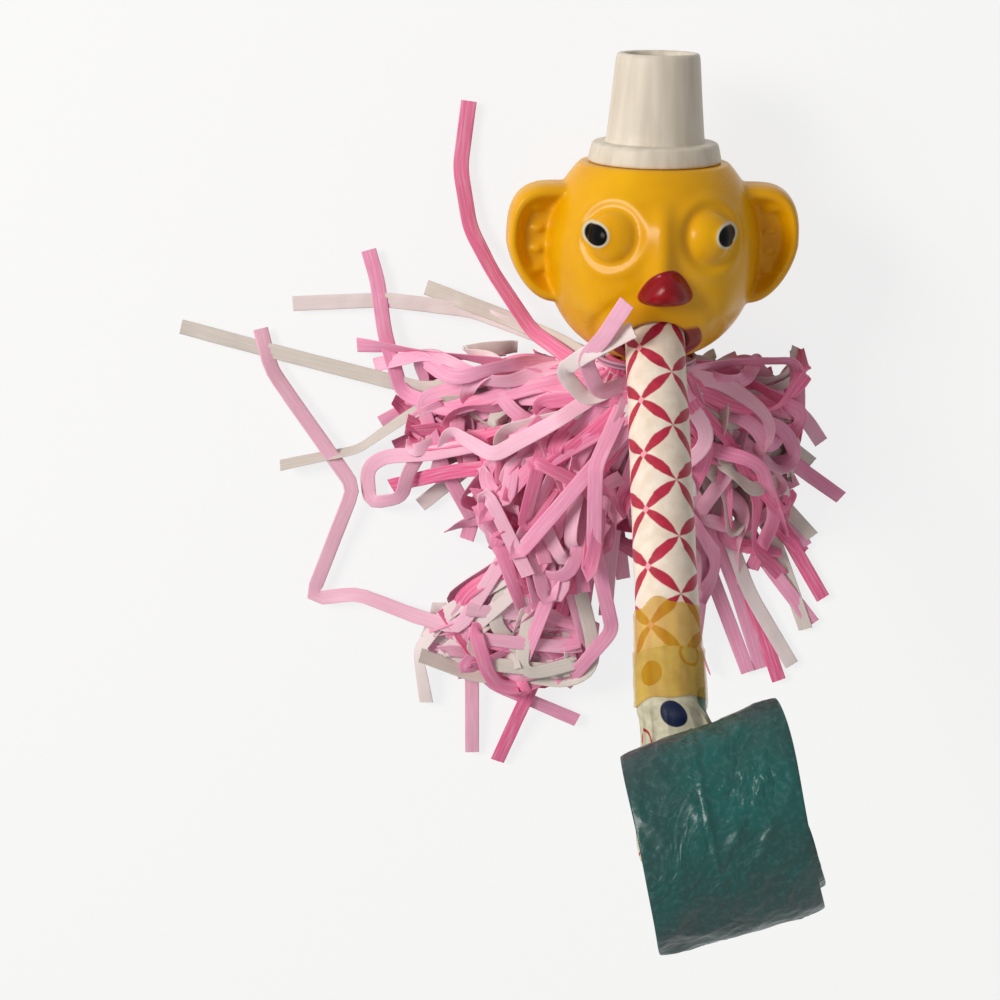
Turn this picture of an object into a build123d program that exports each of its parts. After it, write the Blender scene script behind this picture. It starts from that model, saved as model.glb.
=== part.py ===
from build123d import *
import math
import os

# Party horn blower with a moulded clown head, lying on its back. Millimetres.
# Frame: +X is the viewer's right, +Y points out of the hat, +Z is up, the way the face looks.
# The origin is the middle of the small flat at the back of the head, on the table.

# Head
head_radius = 18.5
head_half_height = 19.8
head_wall = 1.3
crown_height = 14.4
back_flat_depth = 0.5
neck_radius = 4.6
neck_length = 5.2
neck_flange_radius = 5.5
neck_flange_height = 1.4

# Ears
ear_half_width = 8.6
ear_half_height = 10.4
ear_inset = 1.9
ear_offset_y = 0.8
ear_depth = 6.0
ear_rim = 1.5
ear_cup_depth = 3.6
ear_ridge_count = 4
ear_ridge_width = 1.0
ear_ridge_height = 1.2

# Eyes, nose and cheeks
eye_spread_deg = 28.0
eye_height = 4.2
eye_dome_radius = 4.6
eye_dome_rise = 1.7
eye_rim_radius = 5.2
eye_rim_thickness = 0.75
nose_height = -3.9
nose_half_width = 4.4
nose_half_height = 2.9
nose_half_depth = 3.4
nose_rise = 1.2
bridge_half_width = 2.4
bridge_half_height = 7.0
bridge_half_depth = 2.6
cheek_spread_deg = 32.0
cheek_height = -7.6
cheek_radius = 6.0
cheek_rise = 0.9

# Hat, which is the mouthpiece
hat_brim_radius = 11.5
hat_brim_thickness = 3.4
hat_brim_rounding = 1.3
hat_crown_height = 14.6
hat_crown_base_radius = 8.4
hat_crown_top_radius = 7.0
hat_bore_radius = 5.5
hat_bore_length = 12.0
hat_spigot_radius = 6.0
hat_spigot_length = 6.0
hat_rim_rounding = 0.5
reed_bore_radius = 3.6

# Reed in the foot of the hat
reed_body_length = 11.2
reed_block_length = 4.0
reed_channel_width = 2.2
reed_channel_depth = 1.6
reed_channel_wall = 0.9
reed_tongue_length = 6.5
reed_tongue_width = 3.2
reed_tongue_thickness = 0.16
reed_tongue_gap = 0.15
reed_wedge_length = 1.2
reed_wedge_gap = 0.12

# Tube and mouth
tube_lean_deg = 42.0
tube_core_radius = 4.85
tube_core_wall = 0.65
tube_wrap_thickness = 0.2
tube_start = 9.5
tube_length = 74.5
mouth_socket_wall = 1.2
lip_set_out = 0.9
lip_thickness = 1.45
lip_sink = 0.8

# Cuff and tape
cuff_overlap = 9.0
cuff_taper_length = 20.0
cuff_wall = 0.33
tape_over_wrap = 7.5
tape_over_cuff = 8.0
tape_thickness = 0.2

# Bag
bag_swing_deg = 17.0
bag_twist_deg = 11.0
bag_half_width = 12.0
bag_thickness = 1.1
bag_paper = 0.3
bag_edge_seal = 0.8
bag_lead_length = 3.0
roll_radius = 12.8
roll_pitch = 1.8
outer_quarters = 4
inner_quarters = 8
end_fold_angle = 24.0
end_fold_thickness = 0.5
end_fold_inset = 0.4
spring_half_width = 0.8
spring_thickness = 0.25
spring_inset = 2.0

# Fringe
ruff_thickness = 3.45
ruff_end_play = 0.2
tie_thickness = 0.5
tie_length = 1.2
ribbon_width = 2.8
ribbon_thickness = 0.3
ribbon_straight = 4.5
ribbon_reach = 88.0
tuft_count = 10
tuft_gap_deg = 1.0
rest_step = 0.9
landing_first = 15.0
landing_step = 6.0

# Clearances
slip = 0.05
paper_slip = 0.03
ruff_slip = 0.15
touch = 0.1

# Places worked out from the sizes
head_z = head_radius - back_flat_depth
neck_y = -head_half_height * math.sqrt(1 - (neck_radius / head_radius) ** 2)
neck_end_y = neck_y - neck_length
ruff_y = (neck_y + neck_end_y) / 2
ruff_length = neck_length - 2 * ruff_end_play
ruff_inner_radius = neck_radius + ruff_slip
ruff_outer_radius = ruff_inner_radius + ruff_thickness
root_y = ruff_y - ruff_length / 2 + ribbon_width / 2
tie_y = ruff_y + ruff_length / 2 - tie_length / 2
lean = math.radians(tube_lean_deg)
tube_dir = Vector(0, -math.cos(lean), math.sin(lean))
tube_plane = Plane(origin=(0, 0, head_z), x_dir=(1, 0, 0), z_dir=tube_dir)
tube_end = tube_start + tube_length
tube_end_point = Vector(0, 0, head_z) + tube_dir * tube_end
swing = math.radians(bag_swing_deg)
bag_dir = tube_dir * math.cos(swing) + Vector(1, 0, 0) * math.sin(swing)
flat_across = Vector(1, 0, 0) * math.cos(swing) - tube_dir * math.sin(swing)
twist = math.radians(bag_twist_deg)
bag_across = flat_across * math.cos(twist) + bag_dir.cross(flat_across) * math.sin(twist)
bag_plane = Plane(origin=tube_end_point, x_dir=bag_across, z_dir=bag_dir)
side_plane = Plane(origin=tube_end_point, x_dir=bag_dir, z_dir=bag_across * -1)
face_slope = (math.cos(lean) / head_half_height) ** 2 + (math.sin(lean) / head_radius) ** 2
lip_place = 1 / math.sqrt(face_slope) - lip_sink
mouth_socket_start = tube_start - 5 * touch
mouth_socket_end = lip_place - head_wall
cuff_start = tube_end - cuff_overlap
tape_start = cuff_start - tape_over_wrap
tape_end = cuff_start + tape_over_cuff
bag_bend_place = cuff_taper_length + bag_lead_length
tube_radius = tube_core_radius + slip + tube_wrap_thickness
mouth_radius = tube_radius + slip
lip_ring_radius = mouth_radius + lip_set_out
cuff_inner_radius = tube_radius + paper_slip
cuff_outer_radius = cuff_inner_radius + cuff_wall
spigot_hole_radius = hat_spigot_radius + slip
hat_top_y = crown_height + hat_brim_thickness + hat_crown_height
hat_step_y = hat_top_y - hat_bore_length
hat_foot_y = crown_height - hat_spigot_length


def head_half(half_height, radius, crown, start_deg):
    """Half of an egg with a flat crown, behind the seam (start 0) or in front of it (start 180)."""
    crown_radius = radius * math.sqrt(1 - (crown / half_height) ** 2)
    crown_angle = math.degrees(math.asin(crown / half_height))
    egg = EllipticalCenterArc((0, 0), radius, half_height, -90, arc_size=90 + crown_angle)
    top = Line((crown_radius, crown), (0, crown))
    axis_line = Line((0, crown), (0, -half_height))
    profile = make_face([egg, top, axis_line])
    half = revolve(profile, Axis.Y, 180)
    turned = half.rotate(Axis.Y, start_deg)
    return turned.moved(Location((0, 0, head_z)))


def round_about_y(points, start_deg=0, arc_deg=360):
    """A turned piece about the hat's axis, from (radius, height) points."""
    profile = make_face(Polyline(*points, close=True))
    return revolve(profile, Axis.Y, arc_deg).rotate(Axis.Y, start_deg).moved(Location((0, 0, head_z)))


def sleeve(inner, outer, start, end):
    """A straight round sleeve along the tube."""
    ring = Circle(outer) - Circle(inner)
    return tube_plane.offset(start) * extrude(ring, end - start)


def surface_place(spread_deg, height):
    """A plane on the head's face, normal outwards, at an angle to the side and a height."""
    radius = head_radius * math.sqrt(1 - (height / head_half_height) ** 2)
    spread = math.radians(spread_deg)
    place = Vector(radius * math.sin(spread), height, head_z + radius * math.cos(spread))
    slope = height * (head_radius / head_half_height) ** 2
    normal = Vector(place.X, slope, place.Z - head_z)
    return Plane(origin=place, x_dir=Vector(normal.Z, 0, -normal.X), z_dir=normal)


def egg_ball(half_x, half_y, half_z):
    """A ball stretched along its three axes."""
    return scale(Sphere(1), by=(half_x, half_y, half_z))


def neck_half(start_deg):
    """Half of the closed neck stub with its flange, which holds the fringe."""
    inside_y = neck_y + head_wall
    flange_y = neck_end_y - neck_flange_height
    points = [
        (0, inside_y),
        (neck_radius, inside_y),
        (neck_radius, neck_end_y),
        (neck_flange_radius, neck_end_y),
        (neck_flange_radius, flange_y),
        (0, flange_y),
    ]
    return round_about_y(points, start_deg, 180)


def ear(side):
    """One cupped ear with small ridges in its cup, its flat back on the seam."""
    centre = (side * (head_radius - ear_inset), ear_offset_y, head_z)
    outline = Ellipse(ear_half_height, ear_half_width, rotation=90)
    body = extrude(outline, ear_depth)
    cup = extrude(Ellipse(ear_half_height - ear_rim, ear_half_width - ear_rim, rotation=90), ear_cup_depth)
    body -= cup.moved(Location((0, 0, ear_depth - ear_cup_depth)))
    ridge_length = ear_half_width - ear_rim
    for i in range(ear_ridge_count):
        y = (i - (ear_ridge_count - 1) / 2) * 2 * ear_half_height / (ear_ridge_count + 1.5)
        floor_z = ear_depth - ear_cup_depth + ear_ridge_height / 2
        ridge = Box(ridge_length, ear_ridge_width, ear_ridge_height)
        body += ridge.moved(Location((side * ridge_length / 2, y, floor_z)))
    return body.moved(Location(centre))


def face_features():
    """Ears, eye domes with rims, nose with its bridge, cheeks and lips, as one list of solids."""
    features = [ear(-1), ear(1)]
    for side in (-1, 1):
        eye = surface_place(side * eye_spread_deg, eye_height)
        sunk = eye_dome_radius - eye_dome_rise
        features.append(eye.offset(-sunk) * Sphere(eye_dome_radius))
        features.append(eye * Torus(eye_rim_radius, eye_rim_thickness))
        cheek = surface_place(side * cheek_spread_deg, cheek_height)
        features.append(cheek.offset(cheek_rise - cheek_radius) * Sphere(cheek_radius))
    nose = surface_place(0, nose_height)
    features.append(nose.offset(nose_rise) * egg_ball(nose_half_width, nose_half_height, nose_half_depth))
    bridge = surface_place(0, nose_height + bridge_half_height)
    features.append(bridge * egg_ball(bridge_half_width, bridge_half_height, bridge_half_depth))
    features.append(tube_plane.offset(lip_place) * Torus(lip_ring_radius, lip_thickness))
    return features


def head_front():
    outer = head_half(head_half_height, head_radius, crown_height, 180)
    span = 4 * head_radius
    front_space = Box(span, span, span, align=(Align.CENTER, Align.CENTER, Align.MIN))
    for feature in face_features():
        outer += feature & front_space.moved(Location((0, 0, head_z)))
    cavity = head_half(head_half_height - head_wall, head_radius - head_wall, crown_height - head_wall, 180)
    shell = outer - cavity
    shell += neck_half(180)
    shell += sleeve(mouth_radius, mouth_radius + mouth_socket_wall, mouth_socket_start, mouth_socket_end)
    mouth = tube_plane.offset(mouth_socket_start) * extrude(Circle(mouth_radius), 20)
    shell -= mouth
    return shell - hat_hole()


def head_rear():
    outer = head_half(head_half_height, head_radius, crown_height, 0)
    cavity = head_half(head_half_height - head_wall, head_radius - head_wall, crown_height - head_wall, 0)
    shell = outer - cavity
    shell += neck_half(0)
    span = 4 * head_radius
    below_table = Box(span, span, span, align=(Align.CENTER, Align.CENTER, Align.MAX))
    shell -= below_table
    return shell - hat_hole()


def hat_hole():
    """The round hole in the crown that takes the hat's spigot."""
    bottom = crown_height - 2 * head_wall
    top = crown_height + head_wall
    return round_about_y([(0, bottom), (spigot_hole_radius, bottom), (spigot_hole_radius, top), (0, top)])


def hat():
    brim_y = crown_height
    crown_y = crown_height + hat_brim_thickness
    body = round_about_y(
        [
            (reed_bore_radius, hat_foot_y),
            (hat_spigot_radius, hat_foot_y),
            (hat_spigot_radius, brim_y),
            (hat_brim_radius, brim_y),
            (hat_brim_radius, crown_y),
            (hat_crown_base_radius, crown_y),
            (hat_crown_top_radius, hat_top_y),
            (hat_bore_radius, hat_top_y),
            (hat_bore_radius, hat_step_y),
            (reed_bore_radius, hat_step_y),
        ]
    )
    circles = body.edges().filter_by(GeomType.CIRCLE)
    brim_edges = [e for e in circles if abs(e.radius - hat_brim_radius) < 0.01]
    body = fillet(brim_edges, hat_brim_rounding)
    circles = body.edges().filter_by(GeomType.CIRCLE)
    rim_edges = [e for e in circles if abs(e.radius - hat_crown_top_radius) < 0.01]
    return fillet(rim_edges, hat_rim_rounding)


def reed_flat_box(low_y, high_y, low_z, high_z, width):
    """A block inside the reed, placed by its height along the hat and its level over the reed's axis."""
    block = Box(width, high_y - low_y, high_z - low_z)
    return block.moved(Location((0, (low_y + high_y) / 2, head_z + (low_z + high_z) / 2)))


reed_top_y = hat_step_y - touch
reed_low_y = reed_top_y - reed_body_length
reed_block_y = reed_top_y - reed_block_length
reed_radius = reed_bore_radius - slip
reed_root_y = reed_block_y - touch
tongue_low = reed_tongue_gap
tongue_high = reed_tongue_gap + reed_tongue_thickness


def reed_body():
    """A round plug, cut flat along its lower stretch, with an air channel that the tongue covers."""
    body = round_about_y([(0, reed_low_y), (reed_radius, reed_low_y), (reed_radius, reed_top_y), (0, reed_top_y)])
    body -= reed_flat_box(reed_low_y - 1, reed_block_y, 0, reed_radius + 1, 2 * reed_radius + 1)
    channel_low = reed_low_y + reed_channel_wall
    body -= reed_flat_box(channel_low, reed_top_y + 1, -reed_channel_depth, 0, reed_channel_width)
    return body


def reed_tongue():
    low_y = reed_root_y - reed_tongue_length
    return reed_flat_box(low_y, reed_root_y, tongue_low, tongue_high, reed_tongue_width)


def reed_wedge():
    """A half-round block over the tongue's root, which holds it down."""
    low_y = reed_root_y - reed_wedge_length
    block = round_about_y([(0, low_y), (reed_radius, low_y), (reed_radius, reed_root_y), (0, reed_root_y)])
    floor = tongue_high + reed_wedge_gap
    block -= reed_flat_box(low_y - 1, reed_root_y + 1, -reed_radius - 1, floor, 2 * reed_radius + 1)
    return block


def tube_core():
    return sleeve(tube_core_radius - tube_core_wall, tube_core_radius, tube_start, tube_end)


def tube_wrap():
    return sleeve(tube_core_radius + slip, tube_radius, tube_start, tube_end)


def tape_band():
    """Thin tape, over the wrap first and then stepped up over the cuff."""
    low = tube_radius + paper_slip
    high = cuff_outer_radius + paper_slip
    step_y = cuff_start - touch - tape_thickness
    points = [
        (low, tape_start),
        (low + tape_thickness, tape_start),
        (low + tape_thickness, step_y),
        (high + tape_thickness, step_y),
        (high + tape_thickness, tape_end),
        (high, tape_end),
        (high, step_y + tape_thickness),
        (low, step_y + tape_thickness),
    ]
    profile = make_face(Polyline(*points, close=True))
    turned = revolve(profile, Axis.Y, 360).rotate(Axis.X, 90)
    return tube_plane * turned


def cuff_loft(start_radius, end_half_width, end_half_height):
    """The bag's mouth, from round to flat, in four sections."""
    sections = [tube_plane.offset(tube_end) * Circle(start_radius)]
    for share in (0.3, 0.65, 1.0):
        half_width = start_radius + (end_half_width - start_radius) * share
        half_height = end_half_height + (start_radius - end_half_height) * (1 - share) ** 1.2
        sections.append(bag_plane.offset(cuff_taper_length * share) * Ellipse(half_width, half_height))
    return loft(sections)


def bag_cuff():
    collar = sleeve(cuff_inner_radius, cuff_outer_radius, cuff_start, tube_end)
    outer = cuff_loft(cuff_outer_radius, bag_half_width, bag_thickness / 2)
    inner_height = bag_thickness / 2 - bag_paper
    inner = cuff_loft(cuff_inner_radius, bag_half_width - bag_edge_seal, inner_height)
    return collar + (outer - inner)


# The rolled bag, drawn in its side plane: first axis along the bag from the tube's end, second axis up from it.
# Each quarter turn is an arc that is a little tighter than the one before.
quarter_step = roll_pitch / 4
quarter_count = outer_quarters + inner_quarters


def quarter_radius(k):
    return roll_radius - quarter_step * k


def quarter_centres():
    centres = [(bag_bend_place, roll_radius - bag_thickness / 2)]
    for k in range(1, quarter_count):
        heading = math.radians(90 * k)
        x, y = centres[-1]
        centres.append((x + quarter_step * math.sin(heading), y - quarter_step * math.cos(heading)))
    return centres


roll_centres = quarter_centres()


def on_roll(k, heading_deg, depth):
    """The point of quarter k where the sheet heads that way, at a depth under the roll's outer face."""
    heading = math.radians(heading_deg)
    radius = quarter_radius(k) - depth
    x, y = roll_centres[k]
    return (x + radius * math.sin(heading), y - radius * math.cos(heading))


def roll_line(first, last, depth, last_deg=90):
    """Arcs along the sheet from the start of quarter first to a share of quarter last."""
    arcs = []
    for k in range(first, last + 1):
        start = 90 * k
        end = start + (last_deg if k == last else 90)
        middle = (start + end) / 2
        arcs.append(ThreePointArc(on_roll(k, start, depth), on_roll(k, middle, depth), on_roll(k, end, depth)))
    return arcs


def roll_band(first, last, outer_depth, inner_depth, half_width, last_deg=90):
    """A stretch of the rolled sheet between two depths."""
    outer = roll_line(first, last, outer_depth, last_deg)
    inner = roll_line(first, last, inner_depth, last_deg)
    front_end = Line(outer[-1] @ 1, inner[-1] @ 1)
    back_end = Line(inner[0] @ 0, outer[0] @ 0)
    profile = make_face([*outer, front_end, *inner, back_end])
    return side_plane * extrude(profile, half_width, both=True)


slot_half_width = bag_half_width - bag_edge_seal
slot_top = bag_thickness - bag_paper


def bag_lead():
    """The short flat stretch of bag between the cuff and the roll."""
    flat = Box(2 * bag_half_width, bag_thickness, bag_lead_length)
    slot = Box(2 * slot_half_width, bag_thickness - 2 * bag_paper, bag_lead_length + 1)
    return bag_plane.offset(cuff_taper_length + bag_lead_length / 2) * (flat - slot)


def bag_outer_turn():
    last = outer_quarters - 1
    turn = roll_band(0, last, 0, bag_thickness, bag_half_width)
    return turn - roll_band(0, last, bag_paper, slot_top, slot_half_width)


def bag_inner_turns():
    first = outer_quarters
    last = quarter_count - 1
    turns = roll_band(first, last, 0, bag_thickness, bag_half_width)
    closed_deg = 90 - math.degrees(2 * bag_edge_seal / quarter_radius(last))
    return turns - roll_band(first, last, bag_paper, slot_top, slot_half_width, closed_deg)


def bag_end_fold():
    """The end of the bag, folded back and glued on the inner face of the roll."""
    last = quarter_count - 1
    start_deg = 90 * last + 90 - end_fold_angle
    depth = bag_thickness + paper_slip
    points = []
    for level in (depth, depth + end_fold_thickness):
        arc_degs = (start_deg, start_deg + end_fold_angle / 2, start_deg + end_fold_angle)
        points.append([on_roll(last, deg, level) for deg in arc_degs])
    outer = ThreePointArc(*points[0])
    inner = ThreePointArc(*points[1])
    profile = make_face([outer, Line(outer @ 1, inner @ 1), inner, Line(inner @ 0, outer @ 0)])
    return side_plane * extrude(profile, bag_half_width - end_fold_inset, both=True)


def recoil_spring():
    """One sprung strip in the bag: straight through the cuff and lead, then along every turn."""
    outer_depth = (bag_thickness - spring_thickness) / 2
    inner_depth = outer_depth + spring_thickness
    last = quarter_count - 1
    last_deg = 90 - math.degrees(4 * bag_edge_seal / quarter_radius(last))
    outer = roll_line(0, last, outer_depth, last_deg)
    inner = roll_line(0, last, inner_depth, last_deg)
    low = -spring_thickness / 2
    lead = Polyline(inner[0] @ 0, (spring_inset, -low), (spring_inset, low), outer[0] @ 0)
    tip = Line(outer[-1] @ 1, inner[-1] @ 1)
    profile = make_face([lead, *outer, tip, *inner])
    return side_plane * extrude(profile, spring_half_width, both=True)


# The fringe: a ruff of gathered ribbon round the neck, in ten slices, each with a fan of ribbons.
ruff_low_y = ruff_y - ruff_length / 2
ruff_high_y = ruff_y + ruff_length / 2
root_radius = (ruff_inner_radius + ruff_outer_radius) / 2


def ruff_slice(place_deg):
    """One slice of the ruff, centred at an angle round the neck from the top towards the viewer's left."""
    span = 360 / tuft_count - tuft_gap_deg
    points = [
        (ruff_inner_radius, ruff_low_y),
        (ruff_outer_radius, ruff_low_y),
        (ruff_outer_radius, ruff_high_y),
        (ruff_inner_radius, ruff_high_y),
    ]
    return round_about_y(points, -place_deg - 90 - span / 2, span)


def ribbon(root, heading_deg, reach, rest_height, landing):
    """One bent ribbon from its root in the ruff, out along a heading on the table, down to its rest height."""
    fall = root.Z - rest_height - ribbon_thickness
    slope = landing - ribbon_straight
    spine = [
        (0, root.Z),
        (ribbon_straight, root.Z),
        (ribbon_straight + 0.35 * slope, root.Z - 0.4 * fall),
        (ribbon_straight + 0.7 * slope, root.Z - 0.82 * fall),
        (landing, root.Z - fall),
        (max(reach, landing + ribbon_width), root.Z - fall),
    ]
    under = [(u, z - ribbon_thickness) for u, z in reversed(spine)]
    profile = make_face(Polyline(*spine, *under, close=True))
    heading = math.radians(heading_deg)
    along = Vector(math.cos(heading), math.sin(heading), 0)
    plane = Plane(origin=(root.X, root.Y, 0), x_dir=along, z_dir=along.cross(Vector(0, 0, 1)))
    return plane * extrude(profile, ribbon_width / 2, both=True)


def table_way(heading_deg):
    heading = math.radians(heading_deg)
    return Vector(math.cos(heading), math.sin(heading), 0)


def folded_strips(root, heading_deg, share, stretches, rest_height):
    """Flat stretches of a ribbon on the table, each folded off the end of the one before."""
    place = Vector(root.X, root.Y, rest_height + ribbon_thickness / 2)
    place += table_way(heading_deg) * share * ribbon_reach
    strips = []
    for way_deg, length_share in stretches:
        length = length_share * ribbon_reach
        strip = Box(length + ribbon_width, ribbon_width, ribbon_thickness).rotate(Axis.Z, way_deg)
        strips.append(strip.moved(Location(place + table_way(way_deg) * length / 2)))
        place += table_way(way_deg) * length
    return strips


def tuft(place_deg, headings, shares, level, folded=()):
    """A slice of the ruff with its fan of ribbons, which lie over the tufts of lower levels."""
    place = math.radians(place_deg)
    root = Vector(-root_radius * math.sin(place), root_y, head_z + root_radius * math.cos(place))
    solid = ruff_slice(place_deg)
    for heading, share in zip(headings, shares):
        reach = share * ribbon_reach
        solid += ribbon(root, heading, reach, level * rest_step, landing_first + level * landing_step)
    for heading, share, stretches in folded:
        for strip in folded_strips(root, heading, share, stretches, level * rest_step):
            solid += strip
    return solid


def neck_tie():
    """The binding thread round the ruff."""
    low = ruff_outer_radius + paper_slip
    points = [
        (low, tie_y - tie_length / 2),
        (low + tie_thickness, tie_y - tie_length / 2),
        (low + tie_thickness, tie_y + tie_length / 2),
        (low, tie_y + tie_length / 2),
    ]
    return round_about_y(points)


# Each tuft: angle round the neck, headings of its ribbons on the table, their reach as a share of the longest,
# and its level in the pile.
tufts = {
    "fringe_left_under": (144, (179, 201, 221, 241), (0.82, 0.69, 0.90, 0.74), 0),
    "fringe_left_lower": (108, (167, 177, 197, 214, 234), (0.54, 0.98, 0.81, 0.72, 0.84), 1),
    "fringe_left_upper": (72, (168, 190, 208, 228), (0.75, 0.62, 0.80, 0.78), 2),
    "fringe_left_top": (36, (170, 185, 203, 219, 235), (0.58, 0.68, 0.76, 0.88, 0.72), 3),
    "fringe_chin_under": (180, (247, 257, 267, 277), (0.90, 1.00, 0.72, 0.64), 0),
    "fringe_chin_top": (0, (248, 256, 265, 277), (0.86, 1.00, 0.84, 0.68), 4),
    "fringe_right_under": (216, (-34, -47, -60, -72), (0.45, 0.58, 0.74, 0.80), 0),
    "fringe_right_lower": (252, (-28, -43, -56, -69), (0.40, 0.52, 0.68, 0.84), 1),
    "fringe_right_upper": (288, (-38, -51, -64, -75), (0.43, 0.56, 0.74, 0.78), 2),
    "fringe_right_top": (324, (-46, -58, -69, -80), (0.45, 0.58, 0.82, 0.70), 3),
}

# Ribbons that fold over on the table: the ribbon's heading, how far along it the fold is, then the heading
# and length of each folded stretch. Lengths are shares of the longest ribbon.
folds = {
    "fringe_left_under": ((179, 0.23, ((101, 0.52),)), (221, 0.88, ((69, 0.27), (119, 0.37)))),
    "fringe_left_upper": ((190, 0.45, ((99, 0.28),)),),
}


def main():
    os.makedirs("parts", exist_ok=True)
    pieces = {
        "head_front": head_front(),
        "head_rear": head_rear(),
        "hat_mouthpiece": hat(),
        "reed_body": reed_body(),
        "reed_tongue": reed_tongue(),
        "reed_wedge": reed_wedge(),
        "tube_core": tube_core(),
        "tube_wrap": tube_wrap(),
        "tape_band": tape_band(),
        "bag_cuff": bag_cuff(),
        "bag_lead": bag_lead(),
        "bag_outer_turn": bag_outer_turn(),
        "bag_inner_turns": bag_inner_turns(),
        "bag_end_fold": bag_end_fold(),
        "recoil_spring": recoil_spring(),
        "neck_tie": neck_tie(),
    }
    for name, facts in tufts.items():
        pieces[name] = tuft(*facts, folds.get(name, ()))
    for name, piece in pieces.items():
        export_step(piece, f"parts/{name}.step")


main()
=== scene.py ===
import math
import bmesh
import bpy
import numpy as np
from mathutils import Matrix, Vector


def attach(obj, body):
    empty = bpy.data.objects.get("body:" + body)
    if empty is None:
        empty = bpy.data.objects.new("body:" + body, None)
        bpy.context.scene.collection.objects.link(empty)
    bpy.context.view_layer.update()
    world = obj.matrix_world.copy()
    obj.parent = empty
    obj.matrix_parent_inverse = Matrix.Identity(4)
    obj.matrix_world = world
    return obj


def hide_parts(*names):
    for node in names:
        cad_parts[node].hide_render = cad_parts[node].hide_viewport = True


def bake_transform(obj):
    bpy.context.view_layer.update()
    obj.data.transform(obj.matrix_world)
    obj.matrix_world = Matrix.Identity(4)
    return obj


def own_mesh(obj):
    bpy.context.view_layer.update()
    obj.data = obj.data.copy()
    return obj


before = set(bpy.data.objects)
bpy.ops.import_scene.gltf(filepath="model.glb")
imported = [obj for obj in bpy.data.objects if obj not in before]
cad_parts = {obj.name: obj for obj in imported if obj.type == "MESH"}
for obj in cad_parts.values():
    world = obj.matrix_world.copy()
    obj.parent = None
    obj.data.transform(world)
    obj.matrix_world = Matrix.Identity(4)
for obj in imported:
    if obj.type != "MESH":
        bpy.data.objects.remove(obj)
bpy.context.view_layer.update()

# Sizes and places are in millimetres, in the part's own frame, and become metres when a mesh is made.
MM = 0.001
FULL_TURN = 2 * math.pi
SIDE = np.array((1.0, 0.0, 0.0))
UP = np.array((0.0, 1.0, 0.0))
FRONT = np.array((0.0, 0.0, 1.0))
# Head, hat and face
HEAD = np.array((0.0, 0.0, 18.0))
HEAD_RADIUS = 18.5
HEAD_HALF_HEIGHT = 19.8
HEAD_WALL = 1.3
CROWN_Y = 14.4
SEAM_GAP = 0.03
FACE_Z = 24
EAR_PLACE = (16.6, 0.8, 0)
EAR_HALF_WIDTH = 8.6
EAR_HALF_HEIGHT = 10.4
EAR_RIM = 0.87
EAR_RIBS = 4
EYE_SPREAD = 28.0
EYE_Y = 4.2
EYE_BALL = 4.3
EYE_RISE = 1.9
PUPIL_RADIUS = 1.7
PUPIL_BEAD = 2.2
PUPIL_OUTWARD = 2.65
CHEEK_SPREAD = 33
CHEEK_Y = -8.0
NOSE_Y = -3.75
NOSE_WIDE = 3.7
NOSE_TALL = 3.1
NOSE_RISE = 4.3
NOSE_ROOT = 1.2
NOSE_SPREAD = 2.6
NOSE_TAPER = 0.45
NOSE_POWER = 2.15
SPIGOT_BORE = 6.05
MOUTH_BORE = 5.18
MOUTH_FLOOR = 12.5
MELT = 0.34
# Tube, with the tape and the bag's cuff on its far end
LEAN = math.radians(42)
TUBE = -UP * math.cos(LEAN) + FRONT * math.sin(LEAN)
LIFT = UP * math.sin(LEAN) + FRONT * math.cos(LEAN)
TUBE_START = 9.5
TUBE_END = 84.0
TUBE_TIP = HEAD + TUBE * TUBE_END
WRAP_OUTER = 5.10
WRAP_INNER = 4.90
LATTICE_COLUMNS = 6
LATTICE_ROW = 4.88
LIP_RING = 6.2
LIP_PLACE = 17.485
LIP_CENTRE = HEAD + TUBE * LIP_PLACE
TAPE_START = 67.5
TAPE_STOP = 83.0
TAPE_RADIUS = 5.16
CUFF_START = 75.0
CUFF_TAPER = 20.0
CUFF_RADIUS = 5.34
CUFF_EDGE = 0.5
CUFF_PAPER = 0.14
ROUND_TUBE = 5.4
# The bag leaves the tube swung to the viewer's right and twisted a little.
SWING = math.radians(17)
TWIST = math.radians(11)
BAG = TUBE * math.cos(SWING) + SIDE * math.sin(SWING)
LEVEL_ACROSS = SIDE * math.cos(SWING) - TUBE * math.sin(SWING)
ACROSS = LEVEL_ACROSS * math.cos(TWIST) + LIFT * math.sin(TWIST)
BAG_LIFT = LIFT * math.cos(TWIST) - LEVEL_ACROSS * math.sin(TWIST)
BAG_HALF_WIDTH = 12.0
BAG_THICKNESS = 1.1
LEAD_LENGTH = 3.0
ROLL_RADIUS = 12.8
ROLL_LOOSE = 4.8
QUARTER_STEP = 0.45
OUTER_QUARTERS = 4
INNER_QUARTERS = 8
UNROLL_LENGTH = 184.0
SPOT_SPACING = 7.3


def smooth(low, high, value):
    """0 below low, 1 above high, eased between."""
    t = np.clip((value - low) / (high - low), 0, 1)
    return t * t * (3 - 2 * t)


def hump(value, centre, width):
    """A soft bump, 1 at its centre."""
    return np.exp(-((value - centre) / width) ** 2)


def circle(count):
    """Angles once round, the last short of the first."""
    return np.linspace(0, FULL_TURN, count, endpoint=False)


def toward(amount, way):
    """Each amount along a direction."""
    return amount[..., None] * way


def grid_of(*parts):
    """Three coordinates, or two, as one array of points."""
    return np.stack(np.broadcast_arrays(*parts), -1)


def squarish(part, power):
    """A cosine or a sine drawn out, so that a circle becomes squarer."""
    return np.sign(part) * np.abs(part) ** (2 / power)


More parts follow.
